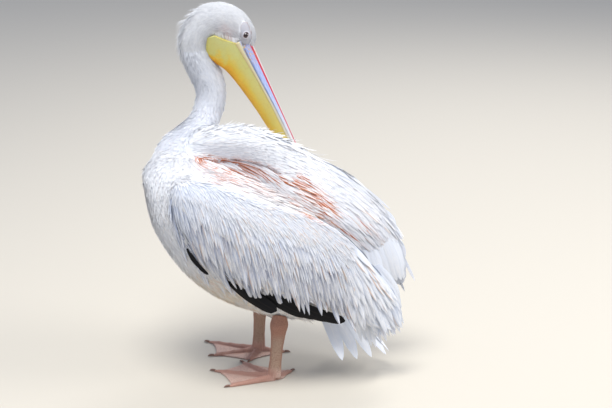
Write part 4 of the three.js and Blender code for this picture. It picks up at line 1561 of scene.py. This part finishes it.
@dataclass
class Fan:
    """A row of large overlapping feathers, each bowed between its root and its tip."""

    name: str
    count: int
    width: float
    roots: Rows = ()  # the line along which the roots stand
    tips: Rows = ()  # the line along which the tips lie
    facing: Sequence[float] = (0, -1, 0.1)
    bow: Sequence[float] = (0, -4, -12)
    replaces: tuple[str, ...] = ()
    slot: str = "flight_feathers"
    outline: Outline = Outline.BLADE
    seed: int = 31
    stack: float = 1.4  # how far each feather lies over the last
    ragged: float = 0.08  # how unevenly long the feathers are

    def lines(self) -> tuple[Array, Array, Array]:
        """Each feather's root, middle and tip, in the bird's millimetres."""
        random = np.random.default_rng(self.seed)
        root, tip = curve_through(self.roots, self.count), curve_through(self.tips, self.count)
        tip = tip + (random.random(tip.shape) - 0.5) * 5
        tip = root + (tip - root) * (1 - self.ragged * random.random((self.count, 1)))
        middle = (root + tip) / 2 + np.array(self.bow, float) / 2
        return root, middle, tip

    def facings(self, count: int) -> Array:
        """Which way each feather's flat side faces."""
        return np.tile(unit(np.array(self.facing, float)), (count, 1))

    def build(self, coat: Coat, material: Material) -> Object:
        """Grows the feathers and places them as one piece."""
        root, middle, tip = self.lines()
        facing = self.facings(len(root))
        lift = facing * (np.linspace(-0.5, 0.5, len(root)) * self.stack * len(root))[:, None] * 0.35
        across = unit(np.cross(tip - root, facing))
        out = unit(np.cross(across, tip - root))
        across = across * np.sign(dot(np.cross(across, tip - root), facing))
        lines = tuple(coat.marks.at(v + lift) for v in (root, middle, tip))
        marks = coat.markings.at(lines[0], self.seed) * (0.2, 0.3, 1.0)  # stained less than the coat
        made = coat.grow(self.name, lines, across * self.width * MM, out * 0.05 * self.width * MM, marks,
                         coat.home(root), self.outline, 9, 18, material)
        return place(self.name, made, self.slot, self.replaces)


@dataclass
class Tail(Fan):
    """The short tail: a drooping fan of broad feathers that roll outwards to each side."""

    def facings(self, count: int) -> Array:
        """Which way each feather's flat side faces."""
        spread = np.linspace(-1, 1, count)
        return unit(np.stack([0 * spread + 0.7, 1.7 * spread, 0 * spread + 0.5], axis=1))

    def lines(self) -> tuple[Array, Array, Array]:
        """Each feather's root, middle and tip, spread evenly over the fan."""
        spread = np.linspace(-1, 1, self.count)[:, None]
        side = np.abs(spread)
        root = np.hstack([96 - 66 * side ** 1.5, 26 * spread, 172 + 6 * side])
        tip = np.hstack([np.minimum(234 - 145 * side, 206), 88 * spread, 42 + 13 * side ** 2])
        middle = (root + tip) / 2 + np.array([7.0, 0.0, 0.0])
        return root, middle, tip


# ---- Bill ----

@dataclass
class Bill:
    """The long bill: a flat upper part with a nail, two slim rods below, and the pouch between them."""

    marks: Landmarks
    form: tuple[tuple[float, ...], ...] = (
        (-40, 24, 21, 14), (0, 23, 19, 11), (70, 20, 15, 7), (140, 18, 10, 7), (190, 17, 8, 7),
        (250, 17.5, 7, 6), (300, 18, 6, 5), (325, 14, 5, 4), (340, 6, 4, 2.5))
    keel: tuple[tuple[float, ...], ...] = (
        (-82, 72, 96), (-60, 50, 108), (-38, 24, 110), (-14, 18, 101), (14, 20, 85), (60, 21, 72),
        (130, 16, 58), (200, 14, 47), (260, 12, 33), (312, 10, 15))
    nail: tuple[tuple[float, ...], ...] = (
        (297, -2.6, 7, 3), (312, -2.2, 8, 3.8), (326, -3.2, 7.5, 4.2), (337, -6.5, 6, 4.4),
        (343, -12, 4, 3.6), (344, -18, 0.4, 0.4))
    length: float = 340.0  # from the forehead's feathers to the tip
    rod: float = 6.0  # how wide each rod is
    join: float = 285.0  # where the rods meet

    def sizes(self, along: Array) -> Array:
        """The half width and the depths of the upper and lower part at each distance."""
        table = np.array(self.form)
        return np.stack([np.interp(along, table[:, 0], table[:, i]) for i in (1, 2, 3)], axis=-1)

    def finish(self, name: str, rings: list[Array], spots: list[Array], slot: str, node: str,
               material: Material) -> None:
        """Lofts rings into a piece that carries its place on the bill."""
        place_solid(name, loft(rings), slot, [node], material, {"bill": with_ends(spots)})

    def upper(self, material: Material) -> None:
        """The upper bill: a raised ridge, a groove on each side of it, and rolled edges."""
        distances = np.linspace(-34, 328, 110)
        across = np.concatenate([np.linspace(1, -1, 33), np.linspace(-0.92, 0.92, 12)])
        top = np.arange(len(across)) < 33
        rings, spots = [], []
        for d, (half, upper, _) in zip(distances, self.sizes(distances)):
            s = np.abs(across)
            crown = -0.82 * upper * s ** 1.7 - 0.16 * upper * np.clip((s - 0.93) / 0.07, 0, 1) ** 2
            ridge = 0.09 * upper * bell(s, 0.13) - 0.07 * upper * bell(s - 0.24, 0.07)
            up = np.where(top, crown + ridge - 0.05 * upper, -upper + 0.06 * upper * (1 - s ** 2))
            shut = ease(-34, -26, np.array([d]))[0]
            rings.append(self.marks.on_bill(np.full_like(up, d), across * half * (0.7 + 0.3 * shut), up))
            spots.append(np.stack([np.full_like(up, d / self.length), across, top * 1.0], axis=1))
        self.finish("bill_upper", rings, spots, "bill_horn", "upper_bill", material)

    def lower(self, material: Material) -> None:
        """The lower bill's rods, which run side by side and meet at the tip."""
        distances = np.linspace(-46, 325, 100)
        turn = circle(12)
        rods, held = [], []
        for side in (1, -1):
            rings, spots = [], []
            for d, (half, upper, lower) in zip(distances, self.sizes(distances)):
                inner = (half - self.rod) * (1 - ease(self.join - 30, self.join, np.array([d]))[0]) - 0.4
                middle, wide = (half + inner) / 2, (half - inner) / 2
                low, tall = -upper - 0.3 - lower / 2, lower / 2
                c, s = np.cos(turn), np.sin(turn)
                a = middle + wide * np.sign(c) * np.abs(c) ** 0.6
                up = low + tall * np.sign(s) * np.abs(s) ** 0.6
                rings.append(self.marks.on_bill(np.full_like(a, d), side * a, up))
                along = np.full_like(a, d / self.length)
                spots.append(np.stack([along, np.full_like(a, side), 0.5 - 0.5 * s], axis=1))
            rods.append(loft(rings))
            held.append(with_ends(spots))
        place_solid("bill_lower", together(rods), "rod_horn", ["lower_bill"], material,
                    {"bill": np.vstack(held)})

    def pouch(self, material: Material) -> None:
        """The pouch: thin skin that hangs from rod to rod, with slack folds along it."""
        keel = curve_through(self.keel, 120)
        turn = np.linspace(0, np.pi, 41)
        rings, spots = [], []
        for d, top, bottom in keel:
            half = self.sizes(np.array([d]))[0, 0] - 1.2
            deep = np.sin(turn)
            folds = 0.22 * np.sin(turn * 23 + d * 0.02) * deep * ease(-60, 20, np.array([d]))[0]
            side = np.cos(turn) * (half + folds * 0.6)
            depth = top + (bottom - top) * deep + folds * 0.4
            lid = np.linspace(-0.9, 0.9, 8) * half
            a, up = np.concatenate([side, lid]), -np.concatenate([depth, np.full(8, top)])
            rings.append(self.marks.on_bill(np.full_like(a, d), a, up))
            spots.append(np.stack([np.full_like(a, d / self.length),
                                   np.concatenate([turn / np.pi, np.full(8, 0.5)]),
                                   np.concatenate([deep, np.zeros(8)])], axis=1))
        self.finish("throat_pouch_skin", rings, spots, "pouch_skin", "throat_pouch", material)

    def tip(self, material: Material) -> None:
        """The nail: a small hook of horn over the end."""
        rows = curve_through(self.nail, 22)
        turn = circle(20)
        middle = self.marks.on_bill(rows[:, 0], 0 * rows[:, 0], rows[:, 1])
        run = unit(np.gradient(middle, axis=0))
        side = np.broadcast_to(self.marks.BILL_SIDE, run.shape)
        up = unit(np.cross(run, side))
        rings = [m + (np.cos(turn)[:, None] * s * wide + np.sin(turn)[:, None] * u * tall) * MM
                 for m, s, u, (_, _, wide, tall) in zip(middle, side, up, rows)]
        place_solid("bill_hook", loft(rings), "nail_horn", ["bill_nail"], material)

    def build(self) -> None:
        """Builds the whole bill."""
        self.upper(BillHorn().material())
        self.lower(RodHorn().material())
        self.pouch(PouchSkin().material())
        self.tip(PlainHorn("red_nail_horn", 0.35, colour="B8262F", pale="CE4A48").material())


# ---- Eyes ----

@dataclass
class Eye:
    """An eyeball and the lids round it, which leave a slanted oval open."""

    side: str
    marks: Landmarks
    radius: float = 9.5
    opening: float = 40.0  # half the angle that the lids leave open
    slant: float = 35.0  # degrees that the opening leans
    lid: tuple[tuple[float, float], ...] = (  # degrees from the opening's edge, and height over the ball
        (0.0, -0.25), (0.0, 0.35), (2.0, 0.9), (5.0, 1.25), (9.0, 1.2), (12.0, 0.95), (16.0, 1.15),
        (22.0, 1.1), (30.0, 0.7), (40.0, 0.2), (52.0, -0.6), (64.0, -1.6))

    def build(self, eye_finish: Material, lid_finish: Material) -> None:
        """Builds the ball and the lids.

        Args:
            eye_finish: the eye's material.
            lid_finish: the lids' material.
        """
        low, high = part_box(f"eye_{self.side}")
        centre = (np.array(low) + np.array(high)) / 2
        out = unit(np.array([0.1, -1.0 if self.side == "right" else 1.0, 0.3]))
        upwards = unit(np.array([0.0, 0.0, 1.0]) - out * out[2])
        sideways = np.cross(upwards, out)
        turn = circle(40)

        def ring(angle: Array, distance: Array) -> Array:
            """A ring of points at an angle from the gaze and a distance from the centre."""
            spread = np.cos(turn)[:, None] * sideways + np.sin(turn)[:, None] * upwards
            run = out * np.cos(angle)[:, None] + spread * np.sin(angle)[:, None]
            return centre + run * distance[:, None] * MM

        full = np.ones_like(turn)
        ball, gaze = [], []
        for angle in np.linspace(0.02, math.pi - 0.02, 26):
            bulge = 0.5 * math.exp(-(angle / 0.42) ** 2)
            ball.append(ring(full * angle, full * (self.radius + bulge)))
            gaze.append(np.tile([angle / math.pi * 2, 0, 0], (len(turn), 1)))
        place_solid(f"eyeball_{self.side}", loft(ball), "eye", [f"eye_{self.side}"], eye_finish,
                    {"gaze": with_ends(gaze)})

        tilt = math.radians(self.slant)
        lean = np.cos(2 * (turn - math.pi / 2 + (tilt if self.side == "right" else -tilt)))
        edge = np.radians(self.opening + 8.0 * lean)
        lids = [ring(edge + math.radians(more), full * (self.radius + 0.5 + off)) for more, off in self.lid]
        face = np.vstack([np.tile([1.0, max(0.0, 0.3 - more / 9), 1.0], (len(turn), 1))
                          for more, _ in self.lid])
        place_solid(f"lids_{self.side}", loft(lids, closed_ends=False), "plumage", (), lid_finish,
                    {"face": face, "marks": np.zeros_like(face)})


# ---- Legs ----

@dataclass
class Leg:
    """A leg with its webbed foot and four claws."""

    side: str
    ankle: tuple[float, float]
    toes: tuple[tuple[float, float], ...]
    marks: Landmarks
    voxel_mm: float = 1.8
    joints: tuple[float, ...] = (0.3, 0.55, 0.78)  # where each toe bends, as shares of its length
    hock_mm: float = 2.6  # how far the hock joint swells
    claw: tuple[tuple[float, ...], ...] = (  # distance past the toe, half width, lowest and highest
        (-2, 3.0, 0.6, 5.6), (2, 3.2, 0.6, 6.1), (6, 2.7, 0.6, 6.0), (9.5, 1.9, 0.5, 4.4),
        (12.8, 0.5, 0.5, 1.5))

    def build(self, nodes: dict[str, Object], skin: Material, horn: Material) -> None:
        """Builds the leg and foot as one scaly skin, then the claws."""
        def sink(part: bmesh.types.BMesh, name: str) -> None:
            """Sinks the leg's lower end a little way into the foot."""
            for vertex in part.verts:
                vertex.co.z -= 0.0006 if name.startswith("leg") and vertex.co.z < 0.05 else 0.0

        pair = [f"leg_{self.side}", f"foot_{self.side}"]
        mesh = smoothed(joined_solids(nodes, pair, sink), self.voxel_mm * MM, 3)
        points, normals = points_of(mesh), normals_of(mesh)
        bird = self.marks.bird(points)
        ankle = np.array(self.ankle, float)
        along, away = np.zeros(len(bird)), np.full(len(bird), 1e9)
        swell = np.zeros(len(bird))
        for tip in self.toes:
            run = np.array(tip, float) - ankle
            span = float(np.linalg.norm(run))
            run /= span
            d = (bird[:, :2] - ankle) @ run
            off = np.abs((bird[:, :2] - ankle) @ np.array([-run[1], run[0]])) + 50 * (d < -8)
            closer = off < away
            along, away = np.where(closer, d, along), np.where(closer, off, away)
            for joint in self.joints:
                near = bell(d - joint * span, 6) * bell(off, 9)
                swell = np.maximum(swell, near)
        lift = np.maximum(normals[:, 2], 0) * (bird[:, 2] < 22)
        hock = self.hock_mm * bell(bird[:, 2] - 142, 15)
        points = points + normals * (MM * (1.3 * swell * lift + hock))[:, None]
        points[:, 2] = np.maximum(points[:, 2], 0.0)
        move_points(mesh, points)
        high = ease(16, 40, bird[:, 2])
        # Painted light: the leg's faces towards the front and back take the paler colour, and its sides the
        # darker one, as on a lit round leg.
        painted_lit_face = ease(0.55, 0.9, np.abs(normals[:, 1])) * ease(128, 100, bird[:, 2])
        away = ease(8, 15, away) * (1 - high) + painted_lit_face * high
        set_vectors(mesh, "foot", np.stack([high, along, away], axis=1))
        place(f"limb_{self.side}", mesh, "bare_skin", pair, skin)
        self.claws(horn)

    def claws(self, horn: Material) -> None:
        """The four claws: short curved cones that just clear the floor."""
        turn = circle(12)
        claws = []
        for tip in self.toes:
            run = unit(np.array(tip, float) - np.array(self.ankle, float))
            side = np.array([-run[1], run[0]])
            rings = []
            for d, half, low, high in curve_through(self.claw, 12):
                at = np.array(tip, float) + run * d
                a, up = np.cos(turn) * half, (low + high) / 2 + np.sin(turn) * (high - low) / 2
                rings.append(self.marks.at(np.column_stack([at[0] + side[0] * a, at[1] + side[1] * a, up])))
            claws.append(loft(rings))
        nodes = [f"claw_{self.side}_{i}" for i in (1, 2, 3, 4)]
        place_solid(f"claws_{self.side}", together(claws), "claw_horn", nodes, horn)


# ---- Studio ----

@dataclass
class Studio:
    """A pale floor, soft light and the camera."""

    target: tuple[float, float, float]
    distance: float = 3.6
    elevation: float = 17.5
    lens: float = 88.2
    floor_half: float = 60.0  # half the floor's side
    floor_gap: float = 0.0005  # how far the floor lies under the soles

    def build(self) -> None:
        """Builds the floor, the lights and the camera."""
        scene = bpy.context.scene
        corners = np.array([(-1, -1, 0), (1, -1, 0), (1, 1, 0), (-1, 1, 0)]) * self.floor_half
        sheet = new_mesh("floor", corners - (0, 0, self.floor_gap), [(0, 1, 2, 3)], smooth=False)
        floor = shown("floor", sheet)
        matt = Finish("plain_pale_floor", 0.9, 1.45).paint()
        matt.shader.inputs["Base Color"].default_value = hex_colour("C8C2B6")
        floor.data.materials.append(matt.material)
        world = bpy.data.worlds.new("soft_sky")
        world.use_nodes = True
        sky = world.node_tree.nodes["Background"].inputs
        sky["Color"].default_value, sky["Strength"].default_value = hex_colour("D2DCF2"), 0.7
        scene.world = world
        self.lamp("overhead", (-0.5, -1.2, 4.2), (0, 0, 0.4), 2.0, 160, "FFFDF8")
        self.lamp("rear_rim", (3.0, -0.5, 2.2), (0, 0, 0.3), 1.6, 52, "FFFDFA")
        self.lamp("back_light", (1.4, 3.0, 3.2), (0, 0, 0.5), 1.8, 75, "FFFDFA")
        camera = shown("camera", bpy.data.cameras.new("camera"))
        camera.data.lens, camera.data.sensor_width = self.lens, 36
        angle = math.radians(self.elevation)
        away = Vector((0, -math.cos(angle), math.sin(angle))) * self.distance
        camera.location = Vector(self.target) + away
        camera.rotation_euler = (-away).to_track_quat("-Z", "Y").to_euler()
        scene.camera = camera
        view = scene.view_settings
        view.view_transform, view.look, view.exposure = "Standard", "None", 0.0

    @staticmethod
    def lamp(name: str, at: Sequence[float], towards: Sequence[float], size: float, watts: float,
             colour: str) -> None:
        """Adds a large soft lamp."""
        light = bpy.data.lights.new(name, "AREA")
        light.shape, light.size, light.energy = "DISK", size, watts
        light.color = hex_colour(colour)[:3]
        lamp = shown(name, light)
        lamp.location = Vector(at)
        lamp.rotation_euler = (Vector(towards) - Vector(at)).to_track_quat("-Z", "Y").to_euler()


# ---- The pelican ----

def main() -> None:
    """Builds the pelican over its frame, then the studio."""
    logging.basicConfig(level=logging.INFO, format="%(name)s: %(message)s")
    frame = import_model()
    nodes = frame["nodes"]
    marks = Landmarks()
    markings = Markings(marks)

    skin = Skin(marks)
    skin.build(nodes)
    hide = skin.dress(markings)

    coat = Coat(marks, skin, markings)
    down = {"barb_mm": 0.7, "fade": 1.3, "sheen": 0.35}
    # Each finish's base and edge colours are painted shade where the vanes overlap.
    coat.build({
        "wing": Vanes().material(),
        "body": Vanes("soft_white_vanes", 0.8, base="EEF1F8", edge="F1F4FA", **down).material(),
        # The neck's bluer copy of the body finish is painted cool shade down the neck.
        "neck": Vanes("neck_down_painted_cool_shade", 0.8, tip="F8FAFF", base="E5EBF8", edge="EAEFFA", **down).material(),
        # The mantle's greyer copy paints the shade on the lifted wing's long scapulars.
        "mantle": Vanes("mantle_vanes", 0.8, tip="F2F3F7", base="D3DAEA", edge="E0E5F0", barb_mm=0.7,
                        sheen=0.3, fade=1.2).material(),
        # The lower coverts' darker base is deeper painted shade low on the folded wing.
        "lower": Vanes("lower_covert_vanes", base="52648E", edge="A9B7D6", fade=1.05).material(),
        "rear": Vanes("pale_rear_vanes", 0.75, base="A9B8D6", edge="D6DFEE", sheen=0.3).material()})

    dark = Vanes("black_flight_vanes", 0.5, tip="111115", base="0B0B0E", edge="1F1C1C",
                 shaft="2C2523", stain=0.0, sheen=0.0, gloss=0.15).material()
    for fan in (
            Fan("flight_feathers_left", 3, 31, ((-192, -133, 292), (-170, -134, 280)),
                ((-72, -138, 203), (-62, -140, 198)), replaces=("primaries_left",), seed=41),
            Fan("outer_flight_feathers_left", 4, 27, ((-110, -132, 256), (-50, -130, 232)),
                ((8, -130, 184), (100, -106, 160)), seed=47),
            Fan("flight_feathers_right", 7, 34, ((-222, 136, 340), (-70, 150, 270)),
                ((-70, 160, 216), (96, 132, 186)), (0, 1, 0.1), (0, 4, -12), ("primaries_right",), seed=42),
            Fan("front_feathers_left", 2, 9, ((-277, -139, 359), (-268, -140, 348)),
                ((-240, -145, 308), (-226, -144, 294)), bow=(-6, -2, -6), seed=46)):
        fan.build(coat, dark)
    pale = Vanes("pale_flight_vanes", 0.6, base="E4EAF6", edge="ECF1F9", stain=0.3).material()
    long = {"facing": (0.1, -1, 0.1), "slot": "plumage", "outline": Outline.LANCE}
    for fan in (
            Fan("long_feathers_left", 17, 17, ((84, -62, 250), (172, -46, 286)),
                ((138, -70, 86), (172, -68, 77), (206, -64, 79), (233, -58, 104), (238, -54, 150),
                 (236, -48, 192)), bow=(10, -3, 0), replaces=("tertials_left",), seed=43, ragged=0.16,
                stack=0.5, **long),
            Fan("long_feathers_right", 10, 28, ((96, 10, 372), (186, 48, 374)),
                ((150, 22, 178), (190, 32, 182), (216, 38, 192), (236, 42, 204), (243, 42, 214)),
                bow=(10, -16, 0), replaces=("tertials_right",), seed=44, stack=0.4, **long),
            Tail("tail_feathers", 9, 32, replaces=("tail",), slot="plumage", outline=Outline.LANCE, seed=45)):
        fan.build(coat, pale)

    Bill(marks).build()
    eye_finish = WetEye().material()
    for side in ("left", "right"):
        Eye(side, marks).build(eye_finish, hide.data.materials[0])
    scaly = Scutes().material()
    horn = PlainHorn("brown_claw_horn", 0.4, colour="6B4A40", pale="94735F").material()
    for leg in (Leg("left", (-78, -74), ((-36, -28), (-158, 24), (-226, -28), (-186, -120)), marks),
                Leg("right", (-121, 98), ((-52, 92), (-142, 34), (-236, 68), (-252, 156)), marks)):
        leg.build(nodes, scaly, horn)

    Studio(tuple(marks.at((0, 0, 424)))).build()


if __name__ == "__main__":
    main()
